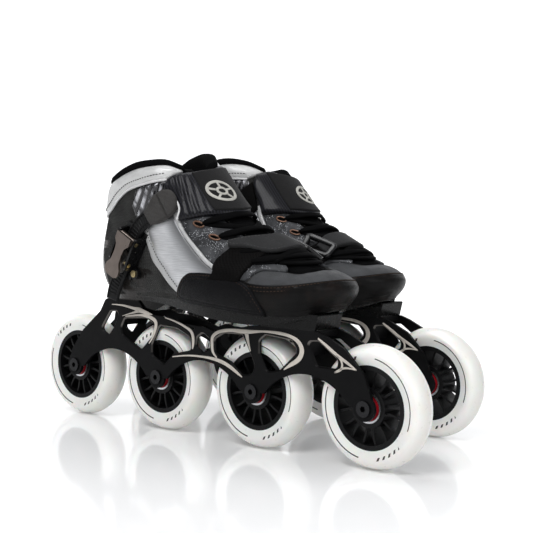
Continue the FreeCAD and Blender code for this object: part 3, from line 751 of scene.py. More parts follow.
def glitter_finish():
    """Dark suede with scattered bright flecks."""
    f = Finish("glitter_suede", (0.05, 0.051, 0.055), 0.62, Metallic=0.25, Specular_IOR_Level=0.25)
    spots = f.ramp(f.cells(1.0, feature="F1"), 0.3, 0.2)
    chosen = f.ramp(f.noise(9.0, 3.0), 0.46, 0.6)
    fleck = f.times(spots, chosen)
    tone = f.mix(f.ramp(f.noise(11.0, 4.0), 0.35, 0.65), (0.032, 0.033, 0.036), (0.075, 0.077, 0.082))
    f.set("Base Color", f.mix(fleck, tone, (0.75, 0.77, 0.80)))
    f.set("Roughness", f.ramp(fleck, 0.0, 1.0, 0.62, 0.25))
    f.bump(f.noise(0.45, 3.0), 0.12)
    return f.material


def felt_finish(name, colour, rib=0.0):
    """Short fibres, with ribs so many millimetres apart where asked."""
    f = Finish(name, colour, 0.9, Sheen_Weight=0.08, Sheen_Roughness=0.5, Specular_IOR_Level=0.1)
    fibre = f.noise(0.7, 5.0, rough=0.7)
    tone = f.mix(f.ramp(fibre, 0.3, 0.7), darker(colour, 0.6), darker(colour, 1.45))
    f.set("Base Color", f.mix(f.ramp(f.noise(20.0), 0.3, 0.7), tone, darker(colour, 0.85)))
    under = f.bump(f.noise(5.0, 3.0), 0.2)
    if rib:
        up = f.parts(f.space("UV"))[1]
        under = f.bump(f.sine(f.times(up, 2 * math.pi / rib)), 0.15, under)
    f.bump(fibre, 0.15, under)
    return f.material


SKATE_FINISH = {
    "collar": leather("collar_leather", (0.64, 0.64, 0.635), 0.34, grain=0.8, depth=0.1, spread=0.06,
                      Metallic=0.35, Coat_Weight=0.15),
    "band": leather("band_leather", (0.52, 0.52, 0.52), 0.32, grain=0.6, depth=0.07, spread=0.05,
                    Metallic=0.3),
    "toe": leather("toe_leather", (0.062, 0.064, 0.068), 0.5, grain=0.6, depth=0.08, spread=0.2,
                   Metallic=0.25, Specular_IOR_Level=0.3),
    "rand": leather("rand_leather", (0.004, 0.0037, 0.0037), 0.34, grain=0.8, depth=0.07, spread=0.3,
                    wear=(0.014, 0.008, 0.006), Coat_Weight=0.1, Coat_Roughness=0.1, Specular_IOR_Level=0.12),
    "patch": leather("patch_leather", (0.004, 0.004, 0.005), 0.36, grain=0.7, depth=0.07, spread=0.25,
                     Coat_Weight=0.04, Coat_Roughness=0.15, Specular_IOR_Level=0.12),
    "tongue": fabric("tongue_cloth", (0.004, 0.004, 0.0045), pitch=1.3, depth=0.3),
    "mesh": fabric("quarter_mesh", (0.05, 0.05, 0.049), pitch=1.5, depth=0.5, light=1.7, turn=0.6),
    "lining": fabric("lining_knit", (0.006, 0.006, 0.0065), pitch=1.5, depth=0.4, roughness=0.92),
    "lace": fabric("lace_weave", (0.004, 0.004, 0.0045), pitch=0.9, depth=0.3, roughness=0.8),
    "webbing": fabric("webbing_weave", (0.006, 0.0056, 0.0056), pitch=1.1, depth=0.35, roughness=0.72),
    "plain_felt": felt_finish("tab_felt", (0.034, 0.034, 0.035)),
    "felt": felt_finish("strap_felt", (0.02, 0.0195, 0.02)),
    "gloss_strap": twill("strap_twill", pitch=1.3, bright=(0.02, 0.02, 0.027), coat=0.22),
    "shell": shell_finish(),
    "pleat": pleat_finish(),
    "silver": silver_finish(),
    "glitter": glitter_finish(),
    "grey_thread": fabric("felt_thread", (0.11, 0.11, 0.11), pitch=0.4, depth=0.05),
    "dark_thread": fabric("dark_thread", (0.05, 0.048, 0.045), pitch=0.4, depth=0.05),
    "brown_thread": fabric("brown_thread", (0.10, 0.07, 0.055), pitch=0.4, depth=0.05),
    "piping": leather("piping_leather", (0.64, 0.64, 0.64), 0.35, grain=0.5, depth=0.04, spread=0.05),
    "ladder": plastic("ladder_plastic", (0.007, 0.007, 0.0075), 0.4, Specular_IOR_Level=0.25),
    "end_plate": felt_finish("end_plate_cloth", (0.075, 0.072, 0.07), rib=1.0),
    "mark": plastic("pale_print", (0.42, 0.41, 0.38), 0.7, texture=0.1, grain=0.5),
    "accent": plastic("cream_print", (0.56, 0.52, 0.47), 0.45),
    "base": plastic("buckle_plastic", (0.006, 0.006, 0.0065), 0.28, Coat_Weight=0.2, Specular_IOR_Level=0.3),
    "hub": plastic("hub_plastic", (0.007, 0.007, 0.0075), 0.35, Specular_IOR_Level=0.25),
    "ring": plastic("ring_plastic", (0.007, 0.007, 0.0075), 0.22, Coat_Weight=0.3, Specular_IOR_Level=0.3),
    "lever": metal("lever_bronze", (0.26, 0.222, 0.2), 0.32, stretch=(10, 1, 10)),
    "pawl": metal("pawl_steel", (0.35, 0.34, 0.33), 0.36),
    "pins": metal("brass", (0.62, 0.52, 0.30), 0.3),
    "axle": metal("black_steel", (0.05, 0.05, 0.052), 0.32, stretch=(1, 12, 1)),
    "steel": metal("bright_steel", (0.60, 0.60, 0.61), 0.26, stretch=(1, 12, 1)),
    "copper": metal("eyelet_copper", (0.17, 0.105, 0.078), 0.3),
    "frame": frame_finish(),
}

# the CAD nodes that stay in view, and what they are made of
CAD_FINISH = {
    "frame": "frame",
    "axle_bolts": "axle",
    "bearing_inner_rings": "steel",
    "mounting_bolts": "axle",
    "shell": "shell",
    "buckle_base": "base",
    "buckle_pins": "pins",
    "buckle_lever": "lever",
    "buckle_pawl": "pawl",
}


def dress_frame():
    """Better materials for the CAD nodes that stay."""
    for side in STANCE:
        chosen = {side + "_" + n: SKATE_FINISH[f] for n, f in CAD_FINISH.items()}
        tyre, bearing = tyre_finish(side), bearing_finish(side)
        for wheel in range(1, 5):
            name = "%s_wheel_%d_" % (side, wheel)
            chosen[name + "tyre"] = tyre
            chosen[name + "hub"] = SKATE_FINISH["hub"]
            chosen[name + "bearings"] = bearing
        for name, material in chosen.items():
            for holder in NODES[name].material_slots:
                holder.material = material


# painted lines on the frame's walls, as (x, z, width)
ACCENTS = (
    ((-108, 102, 0.7), (-94, 102, 1.6), (-81, 100.5, 2.5), (-74, 99.5, 4.4), (-63.5, 97.5, 2.7),
     (-57.5, 96.6, 0.7)),
    ((-74, 98.4, 2.3), (-83.5, 96, 1.4), (-94.5, 93, 0.5)),
    ((-90.5, 93, 0.9), (-81, 94.2, 1.6), (-70, 95.3, 2.3), (-59.5, 94, 3.2), (-53.4, 90.4, 3.6),
     (-54.8, 83, 3), (-57.4, 77.4, 1.8), (-61.5, 72.2, 0.9)),
    ((-42.5, 95.2, 0.9), (-28.5, 92.4, 1.6), (-17.5, 88.8, 2.2), (-11.2, 84.6, 3.2), (-10.1, 80, 3),
     (-10.1, 76, 2.5), (-10.8, 72.2, 1.2)),
    ((16, 67.8, 1.2), (11.5, 72.5, 2.6), (10.8, 78, 3), (11, 83, 3), (14.5, 86.6, 2.8), (20.5, 89, 2.6),
     (31, 90.6, 2.7), (46, 90.7, 3.6), (63, 92.2, 1.6), (79, 92.2, 2.5), (92, 90.2, 2.6),
     (98.8, 86.4, 3.5), (101.4, 81.2, 4.2), (99.3, 75.4, 4), (91.8, 70, 3.2), (84.5, 65.3, 0.9)),
    ((47, 89.5, 4.1), (48.6, 83.4, 2.5), (51.2, 76, 0.9)),
    ((-33.5, 63.8, 0.9), (-16, 66.4, 1.4), (2, 67, 1.8), (19.8, 65.3, 3), (31, 61.6, 3),
     (38.5, 57.6, 2.2), (43, 55.2, 0.9)),
    ((116.2, 91.3, 1.4), (125, 86, 2.4), (133, 81, 2.5), (142.7, 76, 2.3), (150.8, 71.6, 0.9)),
    ((133, 80.5, 1.1), (138, 75.5, 1.6), (138, 72.2, 2), (131.3, 68, 0.9)),
    ((131.3, 68, 0.9), (140, 72, 1.6), (146.5, 72.2, 1.1), (150.8, 71.6, 0.7)),
)


def flat_line(points, fine, y):
    """A smooth line through (x, z) points at the distances fine along it, all at one y."""
    x, z = (spline(running(points), points[:, c])(fine) for c in range(2))
    return np.stack([x, np.full(len(fine), y), z], -1)


def accents():
    """Pale painted lines round the windows of the frame's walls, on both faces."""
    parts = []
    for line in ACCENTS:
        p = np.array(line, float)
        run = running(p[:, :2])
        fine = np.linspace(0, run[-1], int(run[-1] / 1.2) + 3)
        width = np.interp(fine, run, p[:, 2])
        profile = flat_profile(1.0, 0.5, 0.2)[None] * np.stack([width, np.ones(len(fine))], -1)[:, None]
        for face in (-1.0, 1.0):
            path = flat_line(p[:, :2], fine, face * (WALL_OUT + 0.05))
            parts.append(sweep(path, np.tile((0.0, face, 0.0), (len(fine), 1)), profile))
    both("frame_accents", *join(parts), "accent", "frame")


# ---------------------------------------------------------------- the room
# name, watts, place and aim in metres; each a metre square
LAMPS = (
    ("key", 20.0, (0.25, -1.3, 1.6), (0, 0, 0.1)),
    ("fill", 7.0, (1.6, -0.3, 0.8), (0, 0, 0.1)),
    ("top", 10.0, (-0.3, 0.2, 1.7), (0, 0, 0.0)),
)


def room():
    """A plain pale floor that glows as painted light, faintly near the skates and fully far off; soft lights
    and the camera.
    """
    pale = Finish("glowing_floor", (0.9, 0.9, 0.9), 0.1, Specular_IOR_Level=0.5, Emission_Strength=0.6)
    where = pale.node("TexCoord").outputs["Object"]
    distance = pale.node("VectorMath", {0: where}, operation="LENGTH").outputs[1]
    # painted light: the floor glows, dim near the skates and full towards its far edges and backdrop
    pale.set("Emission Color", pale.mix(pale.ramp(distance, 0.2, 1.8), (0.22, 0.22, 0.22), (1, 1, 1)))
    pale.set("Base Color", pale.mix(pale.noise(300.0), (0.84, 0.84, 0.845), (0.86, 0.86, 0.86)))
    reach, far, bend, height, parts = 4.0, 2.2, 1.2, 3.0, 16
    line = [(-reach, 0.0)] + [
        (far + bend * math.sin(a), bend * (1 - math.cos(a)))
        for a in (math.pi / 2 * i / parts for i in range(parts + 1))
    ] + [(far + bend, height)]
    points = [(s, d, z) for d, z in line for s in (-5.0, 5.0)]
    faces = [(2 * i, 2 * i + 1, 2 * i + 3, 2 * i + 2) for i in range(len(line) - 1)]
    mesh = bpy.data.meshes.new("floor")
    mesh.from_pydata(points, [], faces)
    mesh.materials.append(pale.material)
    mesh.polygons.foreach_set("use_smooth", [True] * len(mesh.polygons))
    floor = bpy.data.objects.new("floor", mesh)
    floor.rotation_euler = (0, 0, -YAW)
    bpy.context.scene.collection.objects.link(floor)

    world = bpy.data.worlds.new("studio")
    world.use_nodes = True
    sky = world.node_tree.nodes["Background"]
    sky.inputs["Color"].default_value = (0.95, 0.97, 1.0, 1)
    sky.inputs["Strength"].default_value = 0.42
    bpy.context.scene.world = world
    for name, power, place_at, aim in LAMPS:
        data = bpy.data.lights.new(name, "AREA")
        data.size = 1.0
        data.energy = power
        lamp = bpy.data.objects.new(name, data)
        lamp.location = place_at
        lamp.rotation_euler = (Vector(aim) - Vector(place_at)).to_track_quat("-Z", "Y").to_euler()
        bpy.context.scene.collection.objects.link(lamp)

    view = bpy.data.cameras.new("camera")
    view.lens = 72.0
    view.sensor_width = 36.0
    camera = bpy.data.objects.new("camera", view)
    ahead = Vector((math.sin(YAW) * math.cos(PITCH), math.cos(YAW) * math.cos(PITCH), -math.sin(PITCH)))
    right = Vector((math.cos(YAW), -math.sin(YAW), 0))
    up = right.cross(ahead)
    right, up = right * math.cos(ROLL) + up * math.sin(ROLL), up * math.cos(ROLL) - right * math.sin(ROLL)
    turned = Matrix((right, up, -ahead)).transposed().to_4x4()
    camera.matrix_world = Matrix.Translation(CAMERA_AT) @ turned
    bpy.context.scene.collection.objects.link(camera)
    bpy.context.scene.camera = camera
    bpy.context.scene.view_settings.view_transform = "Standard"
    bpy.context.scene.view_settings.gamma = 0.88


# ---------------------------------------------------------------- the boot's seams
# as (x, z) on the outer side
RIM = [(-18, 217), (-29, 222), (-42, 221.5), (-55, 219.5), (-65, 216.5), (-77, 212), (-89, 208.5), (-97, 206)]
RIM_AT_HEEL = (0.0, 204.5)
COLLAR_LOW = [(-24, 207), (-33, 206), (-45, 204), (-55, 202), (-65, 199), (-77, 192), (-88, 184), (-98, 179)]
COLLAR_AT_HEEL = (0.0, 176.0)
BAND_REAR = [(-48, 171), (-46, 161), (-41, 150.5), (-27, 135), (-15, 126), (-4, 119.5), (1, 117)]
BAND_REAR_INNER = [(5, 120.5), (-1, 125.5), (-12, 133), (-22, 141), (-34, 153.5), (-40, 163), (-42, 172)]
BAND_FRONT = [(-16, 182), (-11, 173), (-3, 164), (8, 155), (26, 143.5), (40, 137), (50, 132.5)]
BAND_FRONT_INNER = [(55, 131.8), (48, 136), (38, 141), (26, 147.3), (10.5, 157.3), (-1.5, 167), (-7, 174),
                    (-11.5, 183.5)]
PATCH_TOP = [(-4, 115.5), (-3, 118), (0, 124), (6, 131.5), (12, 134.8), (20, 135.6), (33, 135.6), (47, 135),
             (58, 133), (67, 130), (73, 126), (77, 120), (79, 113), (80, 105.8)]
PATCH_LOW = [(80, 105.8), (54, 108), (23, 111.3), (3, 113.2), (-4, 115.5)]
CAP_LOW = ((60, 107.5), (84, 105.5), (92, 105.3), (105, 106.5), (113, 109.5), (120, 112.4))
RAND_TOP = [(66, 130.5), (83, 129.2), (94, 129.6), (103, 130.5), (111, 131.6), (117, 132.6)]
# the seam between the facings and the toe, as (x, y) from above, on either side
TOE_SEAM = {-1: [(71, -36.5), (75, -31), (83, -26), (91, -22), (98, -19), (102, -10)],
            1: [(72, 45), (76, 38), (84, 32), (92, 28), (99, 25), (103, 16)]}
# the front end of the throat, as (x, y) from above
THROAT_END = {-1: [(91, -22), (89, -17), (83, -14.5), (77, -17.5), (71, -16)],
              1: [(92, 28), (90, 23), (84, 20), (78, 22), (71, 20)]}
EYELETS = [(9.5, 171.5), (26, 161.5), (46, 149), (58, 142.5)]
EYELET_R = 3.6
THROAT_HALF = 17  # half the width of the gap between the facings
QUARTER_FOOT = 112.6
LINING_IN, LINING_BACK = -8.0, -3.0  # the lining's two faces, inside the boot's surface
INSOLE_LEVEL = 126.0
FACES = {-1: "outer", 1: "inner"}
RIM_ROWS = (2.2, 4.8)


def seam(points, face):
    """(w, z) points of a seam given on the outer side; the inner side's stands a little higher."""
    if face < 0:
        return [outer(x, z) for x, z in points]
    return [inner(*lift(x, z)) for x, z in points]


def round_heel(points, heel):
    """A line from the outer front round the heel to the inner front."""
    back = [behind(*lift(x, z)) for x, z in reversed(points)]
    return [outer(x, z) for x, z in points] + [heel] + back


def panel_piece(name, panel, finish, slot, stands_for=None, crest=None):
    # crest carries per-point values that paint highlight and shade in the silver and pleat finishes
    made = both(name, panel.points, panel.faces, finish, slot, stands_for, uv=panel.uv)
    if crest is not None:
        for piece in made:
            values = piece.data.attributes.new("crest", "FLOAT", "POINT")
            values.data.foreach_set("value", np.asarray(crest, np.float32))
    return made


def sewn_rim(wz, d):
    """Two sunk lines of stitching along a leather edge."""
    return sum(-0.55 * np.exp(-(((d - row) / 0.7) ** 2)) for row in RIM_ROWS)


def thread_piece(name, rows, finish, slot="upper"):
    points, faces = join([stitch_row(wz, out) for wz, out in rows])
    both(name, points, faces, finish, slot)


def rim_stitching(name, panel, top, out):
    """Thread in the sunk lines that follow the panel's top edge."""
    count = len(curve(top)) - 1
    rows = []
    for distance in RIM_ROWS:
        moved, good = inset(panel.outline, distance)
        rows.append((moved[:count][good[:count]], out))
    thread_piece(name, rows, "brown_thread")


# ---------------------------------------------------------------- upper
def quarter():
    """The boot's dark mesh body under all its panels, open at the cuff and the throat."""
    rim = [(w, z - 5) for w, z in round_heel(RIM, RIM_AT_HEEL)]
    levels = (170, 185, 200)
    outer_throat = [above(71, -17), front(-17, 158)] + [front(-THROAT_HALF, z) for z in levels]
    inner_throat = [above(71, 20), front(18, 158)] + [front(THROAT_HALF, z) for z in levels]
    inner_throat, beside_toe = ([(w - 2, z) for w, z in line] for line in (inner_throat, [above(91, 25)]))
    foot = [(w, QUARTER_FOOT) for w in (-1.0, -0.5, 0.0, 0.5, 1.0)]
    toe_in, toe_out = (-1.0, 138.5), (1.0, 138.5)
    outline = loop(foot, [foot[-1], toe_out], [toe_out, above(91, -20), outer_throat[0]],
                   outer_throat + [rim[0]], rim, [rim[-1]] + inner_throat[::-1],
                   [inner_throat[0]] + beside_toe + [toe_in], [toe_in, foot[0]])
    panel = Panel(outline, -1.2, 1.2, edge=0.8, sink=1.4, step=2.6)
    panel_piece("quarter", panel, "mesh", "upper", ["upper"])


def collar():
    """Padded collar of pale leather, with a stitched lower edge in white piping."""
    rim = [(w, z - 3.2) for w, z in round_heel(RIM, RIM_AT_HEEL)]
    low = round_heel(COLLAR_LOW, COLLAR_AT_HEEL)

    def wrinkles(wz, d):
        fold = np.sin(wz[:, 0] * 38 + 1.4 * np.sin(wz[:, 1] * 0.21)) * np.sin(wz[:, 0] * 17 + wz[:, 1] * 0.11)
        return 0.35 * fold * smooth(d / 5)

    outline = between(rim, low[::-1])
    panel = Panel(outline, 0.0, 1.5, edge=2.2, crown=2.6, reach=8.0, step=1.6, relief=wrinkles)
    for piece in panel_piece("collar", panel, "collar", "lining"):
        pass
    edge = curve(low)
    both("collar_piping", *piping(edge, 0.9, 1.15), "piping", "lining")
    row = np.array([(w, z + 4.2) for w, z in edge])
    thread_piece("collar_stitching", [(row, 3.3)], "dark_thread", "lining")


def lining():
    """Knitted lining that rolls over the rim and runs down inside to the footbed."""
    rim = curve(round_heel(RIM, RIM_AT_HEEL), gap=3.0)
    lip = [(-4.2, 0.5), (-4.0, 2.0), (-2.4, 2.9), (-0.4, 2.7), (1.0, 1.4), (1.7, -0.8), (1.7, -3.4),
           (0.8, -5.8), (-1.4, -7.6), (-5.0, -8.4), (-10.0, -8.2)]
    top, floor_level = rim[:, 1] - 10, INSOLE_LEVEL + 1
    rows = [skin(rim[:, 0], rim[:, 1] + drop, out) for drop, out in lip]
    for shares, out in ((np.linspace(0.12, 1.0, 12), LINING_IN), (np.linspace(1.0, 0.1, 8), LINING_BACK)):
        for share in shares:
            z = top + (floor_level - top) * share
            rows.append(skin(rim[:, 0], z, out))
    grid = np.array(rows)
    n, m = grid.shape[:2]
    faces = [(i * m + j, i * m + j + 1, (i + 1) % n * m + j + 1, (i + 1) % n * m + j)
             for i in range(n) for j in range(m - 1)]
    faces += [tuple(i * m for i in range(n)), tuple(i * m + m - 1 for i in reversed(range(n)))]
    run = np.concatenate([[0], np.cumsum(lengths(rim))])
    uv = np.array([(run[j], i * 4.0) for i in range(n) for j in range(m)])
    points = grid.reshape(-1, 3)
    for piece in both("lining", points, faces, "lining", "lining", ["liner"], uv=uv):
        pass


def footbed():
    """Insole inside the boot."""
    turn = np.linspace(0, 2, 90, endpoint=False)
    edge = skin(turn, np.full(len(turn), INSOLE_LEVEL), LINING_IN - 0.6)
    rings = [edge - (0, 0, 2.0), edge]
    for share, height in ((0.05, 0.9), (0.2, 1.4), (0.5, 1.2), (0.8, 1.0), (0.98, 0.9)):
        spine = np.stack([np.clip(edge[:, 0], -88, 92), middle_at(edge[:, 0]), edge[:, 2]], -1)
        rings.append(edge + (spine - edge) * share + (0, 0, height))
    points = np.concatenate(rings)
    faces = tube_faces(len(rings), len(turn))
    both("footbed", points, faces, "plain_felt", "lining", uv=points[:, :2])


def tongue():
    """Padded tongue that shows through the throat and stands above the collar."""
    levels = [(146, 19), (152, 21), (160, 22), (170, 22.5), (182, 23), (189, 23), (196, 22.5), (202, 21)]
    right = [front(-half, z) for z, half in levels]
    left = [front(half, z) for z, half in levels]
    top = [right[-1], front(-16, 209), front(-8, 211.5), (1.0, 213.5), front(8, 214), front(16, 211.5)]
    top += [left[-1]]
    toe = [left[0], above(90, 24), above(98, 19), (1.0, 140.4), above(98, -14), above(90, -17), right[0]]

    def channels(wz, d):
        return -0.9 * np.exp(-(((wz[:, 1] - 178) % 16 - 8) / 1.1) ** 2) * smooth(d / 4)

    outline = loop(right, top, left[::-1], toe)
    panel = Panel(outline, -4.0, 2.4, edge=2.2, crown=2.4, sink=3.0, step=1.8, relief=channels)
    for piece in panel_piece("tongue_pad", panel, "tongue", "tongue", ["tongue"]):
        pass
    bow = ((-21, 204), (-22.5, 210), (-25, 215), (-28, 216), (-30.5, 213), (-31, 206))
    path = resample([(x, -7, z) for x, z in bow], 1.5)
    normals = np.cross(np.gradient(path, axis=0), (0, 1, 0))
    both("tongue_loop", *sweep(path, normals, flat_profile(11, 1.6)), "webbing", "tongue")


def side_panels():
    """Seamed panels on either side: silver sheet, white bands, glitter facing, folds and side patch."""
    for face, label in FACES.items():
        rear, rear_inner = seam(BAND_REAR, face), seam(BAND_REAR_INNER, face)
        ahead, ahead_inner = seam(BAND_FRONT, face), seam(BAND_FRONT_INNER, face)
        sheet = loop(rear, [rear[-1]] + seam([(26, 124), (50, 129)], face) + [ahead[-1]], ahead[::-1],
                     [ahead[0]] + seam([(-30, 181)], face) + [rear[0]])
        panel = Panel(sheet, 0.0, 0.8, crown=1.8, reach=14.0)
        # painted highlight: brightest in the silver sheet's middle, painted shade towards its edges
        shine = smooth(panel.depth(panel.uv / (FLANK, 1)) / 13)
        panel_piece(label + "_silver", panel, "silver", "upper", crest=shine)
        strip = Panel(between(rear, rear_inner), 0.4, 1.3, edge=1.2, crown=0.5, step=1.2)
        panel_piece(label + "_rear_band", strip, "band", "upper")
        strip = Panel(between(ahead, ahead_inner), 0.4, 1.2, crown=0.5, step=1.2)
        panel_piece(label + "_front_band", strip, "band", "upper")
        sewn = curve(rear_inner)
        shift = (-face * 1.7 / FLANK, 0)
        rows = [(sewn - shift, 1.9), (sewn + shift, 1.0)]
        thread_piece(label + "_band_stitching", rows, "dark_thread")

        edge_in = ahead_inner[::-1]
        toe_seam = [above(x, y) for x, y in TOE_SEAM[face]]
        end = [above(x, y) for x, y in THROAT_END[face]]
        up = [end[-1]] + [front(THROAT_HALF * face, z) for z in (153, 160, 168, 177, 187, 198)]
        foot = seam([(67, 131)], face)[0]
        to_end = toe_seam[: TOE_SEAM[face].index(THROAT_END[face][0]) + 1]
        facing = loop(edge_in, [edge_in[-1], foot], [foot] + to_end, end, up,
                      [up[-1]] + seam([(-14, 194)], face) + [edge_in[0]])
        panel = Panel(facing, 0.2, 1.3, edge=0.9, crown=0.3, step=1.5)
        panel_piece(label + "_facing", panel, "glitter", "upper")
        inside = np.array([(w - face * 2.4 / FLANK, z) for w, z in curve(up)])
        thread_piece(label + "_facing_stitching", [(inside, 1.75)], "dark_thread")

        folds = seam([(-56, 199), (-47, 202), (-36, 204), (-23, 206.5)], face)
        down = [folds[-1]] + seam([(-18, 198), (-15, 188)], face)
        under = [down[-1]] + seam([(-30, 175), (-46, 166)], face)
        back = [under[-1]] + seam([(-57, 177), (-60, 189)], face) + [folds[0]]
        focus = (-16.0, 250.0)

        def crest_of(wz):
            p = bare(wz[:, 0], wz[:, 1])
            angle = np.arctan2(p[:, 0] - focus[0], focus[1] - p[:, 2])
            wobble = 0.25 * np.sin(p[:, 2] * 0.18)
            return 0.5 + 0.5 * np.cos(angle / 0.058 * math.pi + wobble)

        panel = Panel(loop(folds, down, under, back), 0.3, 0.8, edge=1.0, step=0.9,
                      relief=lambda wz, d: 2.0 * crest_of(wz) * smooth(d / 2))
        # the fold height also paints highlight on the crests and shade in the dips
        count = len(panel.points) // 2
        wz = panel.uv[:count] / (FLANK, 1)
        panel_piece(label + "_folds", panel, "pleat", "upper", crest=np.tile(crest_of(wz), 2))

        top = seam(PATCH_TOP, face)
        panel = Panel(loop(top, seam(PATCH_LOW, face)), 1.0, 1.9, edge=1.3, crown=1.1, reach=7.0, step=1.0,
                      relief=sewn_rim)
        panel_piece(label + "_patch", panel, "patch", "upper")
        rim_stitching(label + "_patch_stitching", panel, top, 2.95)


def toe():
    """Grey toe piece over a black leather toe cap with a double row of stitching."""
    top = [outer(x, z) for x, z in RAND_TOP] + [(1.0, 133.3)]
    top += [inner(x, z) for x, z in reversed(RAND_TOP)]
    outer_seam = [above(x, y) for x, y in TOE_SEAM[-1]]
    inner_seam = [above(x, y) for x, y in reversed(TOE_SEAM[1])]
    crest = [outer_seam[-1], (1.0, above(103.5, middle_at(103.5) - 0.1)[1]), inner_seam[0]]
    low = [(w, z - 1.5) for w, z in top]
    outline = loop(low, [low[-1], inner_seam[-1]], inner_seam[::-1], crest[::-1], outer_seam[::-1],
                   [outer_seam[0], low[0]])
    panel_piece("toe_piece", Panel(outline, -0.5, 1.0, edge=0.9, crown=0.4, step=1.5), "toe", "upper")
    low_x, low_z = zip(*CAP_LOW)
    shares = np.linspace(top[0][0], top[-1][0], 17)
    sole = [(w, float(np.interp(bare(w, 108.0)[0], low_x, low_z))) for w in shares]
    panel = Panel(between(top, sole[::-1]), -0.2, 1.2, edge=1.2, crown=0.8, step=1.1, relief=sewn_rim)
    panel_piece("toe_cap", panel, "rand", "shell")
    rim_stitching("toe_stitching", panel, top, 1.15)


# ---------------------------------------------------------------- laces and straps
def spot(centre, a, b, out):
    """Points at (a, b) millimetres along and up from a place on the boot, and the normals there."""
    w0, z0 = centre
    along, up, _ = slopes(w0, z0)
    w = w0 + np.asarray(a, float) / np.linalg.norm(along)
    z = z0 + np.asarray(b, float) / np.linalg.norm(up)
    return over(np.stack([w, z], -1), out)


def eyelets():
    """Rolled copper rings set in the facings, dark inside."""
    turn = np.linspace(0, 2 * np.pi, 28, endpoint=False)
    rings, holes = [], []
    for face in FACES:
        for centre in seam(EYELETS, face):
            path, normals = spot(centre, EYELET_R * np.cos(turn), EYELET_R * np.sin(turn), 2.2)
            rings.append(sweep(path, normals, round_profile(0.8, 10, 0.8), closed=True))
            levels = [spot(centre, r * np.cos(turn), r * np.sin(turn), out)[0]
                      for r, out in ((3.3, 1.2), (3.3, 2.1), (1.7, 1.9))]
            holes.append((np.concatenate(levels), tube_faces(len(levels), len(turn))))
    both("eyelet_rings", *join(rings), "copper", "eyelet", ["eyelets"])
    both("eyelet_holes", *join(holes), "lining", "lining")


def laces():
    """Flat laces from eyelet to eyelet across the tongue, over crossed ones."""
    parts = []
    share = np.linspace(0, 1, 29)
    bow = np.sin(np.pi * share)

    def run(start, end, low, high, width, rise):
        w = start[0] + (end[0] - start[0]) * (0.03 + 0.94 * share)
        z = start[1] + (end[1] - start[1]) * share + rise * bow
        out = low + (high - low) * bow**0.6 - 2.4 * (1 - smooth(np.minimum(share, 1 - share) / 0.045))
        path = skin(w, z, out)
        twist = 0.22 * np.sin(share * 9 + start[1])
        normals = slopes(w, z)[2] + np.stack([0 * twist, 0 * twist, twist], -1)
        narrow = 0.5 + 0.5 * smooth(np.minimum(share, 1 - share) / 0.14)
        profile = flat_profile(width, 2.0, 0.9)[None] * np.stack([narrow, np.ones(29)], -1)[:, None]
        parts.append(sweep(path, normals, profile))

    rows = [seam(EYELETS, face) + [above(77, 21 * face)] for face in FACES]
    for start, end in zip(*rows):
        run(start, end, 3.7, 4.3, 5.8, 4.0)
    for first, second in ((rows[0], rows[1]), (rows[1], rows[0])):
        for start, end in zip(first, second[1:]):
            run(start, end, 2.0, 2.2, 4.8, 0.0)
    both("lace_rows", *join(parts), "lace", "lace", ["laces"])


def strap_outline():
    """The ankle strap's outline, from its outer end round the front to its inner side."""
    end = [outer(-25, 203), outer(-23, 198), outer(-19, 195.5), outer(-13, 190.5), outer(-8.5, 183.5),
           outer(-8, 174.5)]
    low = [end[-1], outer(1, 175.5), outer(9, 177), front(-14, 177.5), front(0, 178), front(13, 179.5),
           inner(9, 180.5), inner(2, 180), inner(-4, 180)]
    side = [low[-1], inner(-9, 190), inner(-14, 199), inner(-18, 208), inner(-19, 215)]
    top = [side[-1], front(14, 217.5), front(4, 215), front(-8, 213), front(-17, 211.5), outer(-21, 208.5),
           end[0]]
    return end, low, side, top


def ankle_strap():
    """Padded strap round the front of the ankle, with a felt front, a pale edge and a plain wheel sign."""
    end, low, side, top = strap_outline()

    def folds(wz, d):
        near = smooth((0.86 - wz[:, 0]) / 0.12)
        return 0.38 * np.sin(wz[:, 0] * 200 - wz[:, 1] * 0.35) * near * smooth(d / 4)

    outline = loop(end, low, side, top)
    panel = Panel(outline, 2.6, 2.6, edge=2.2, crown=1.2, reach=10, sink=1.5, step=1.5, relief=folds)
    for piece in panel_piece("strap_pad", panel, "gloss_strap", "ankle_strap", ["ankle_strap"]):
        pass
    fall = [inner(-9, 185), inner(-24, 172), inner(-42, 158), inner(-57, 148)]
    rise = [inner(-70, 160), inner(-56, 176), inner(-38, 194), inner(-19, 209)]
    root = Panel(between(fall, rise), 2.7, 1.6, crown=0.4, step=1.8)
    panel_piece("strap_root", root, "webbing", "ankle_strap")
    both("strap_edge", *piping(curve(end[1:]), 4.4, 1.0), "piping", "ankle_strap")
    cut = [front(-19, z) for z in (179.5, 187, 195, 203, 209.5)]
    back = [front(17, z) for z in (215, 207, 199, 190, 181.5)]
    felt = loop(cut, [cut[-1], front(-8, 211.5), front(4, 213.5), back[0]], back,
                [back[-1], front(0, 179.6), cut[0]])
    panel_piece("strap_front", Panel(felt, 5.8, 1.1, crown=0.2, step=1.5), "felt", "ankle_strap")
    sign_at(front(-7, 194), 7.2)


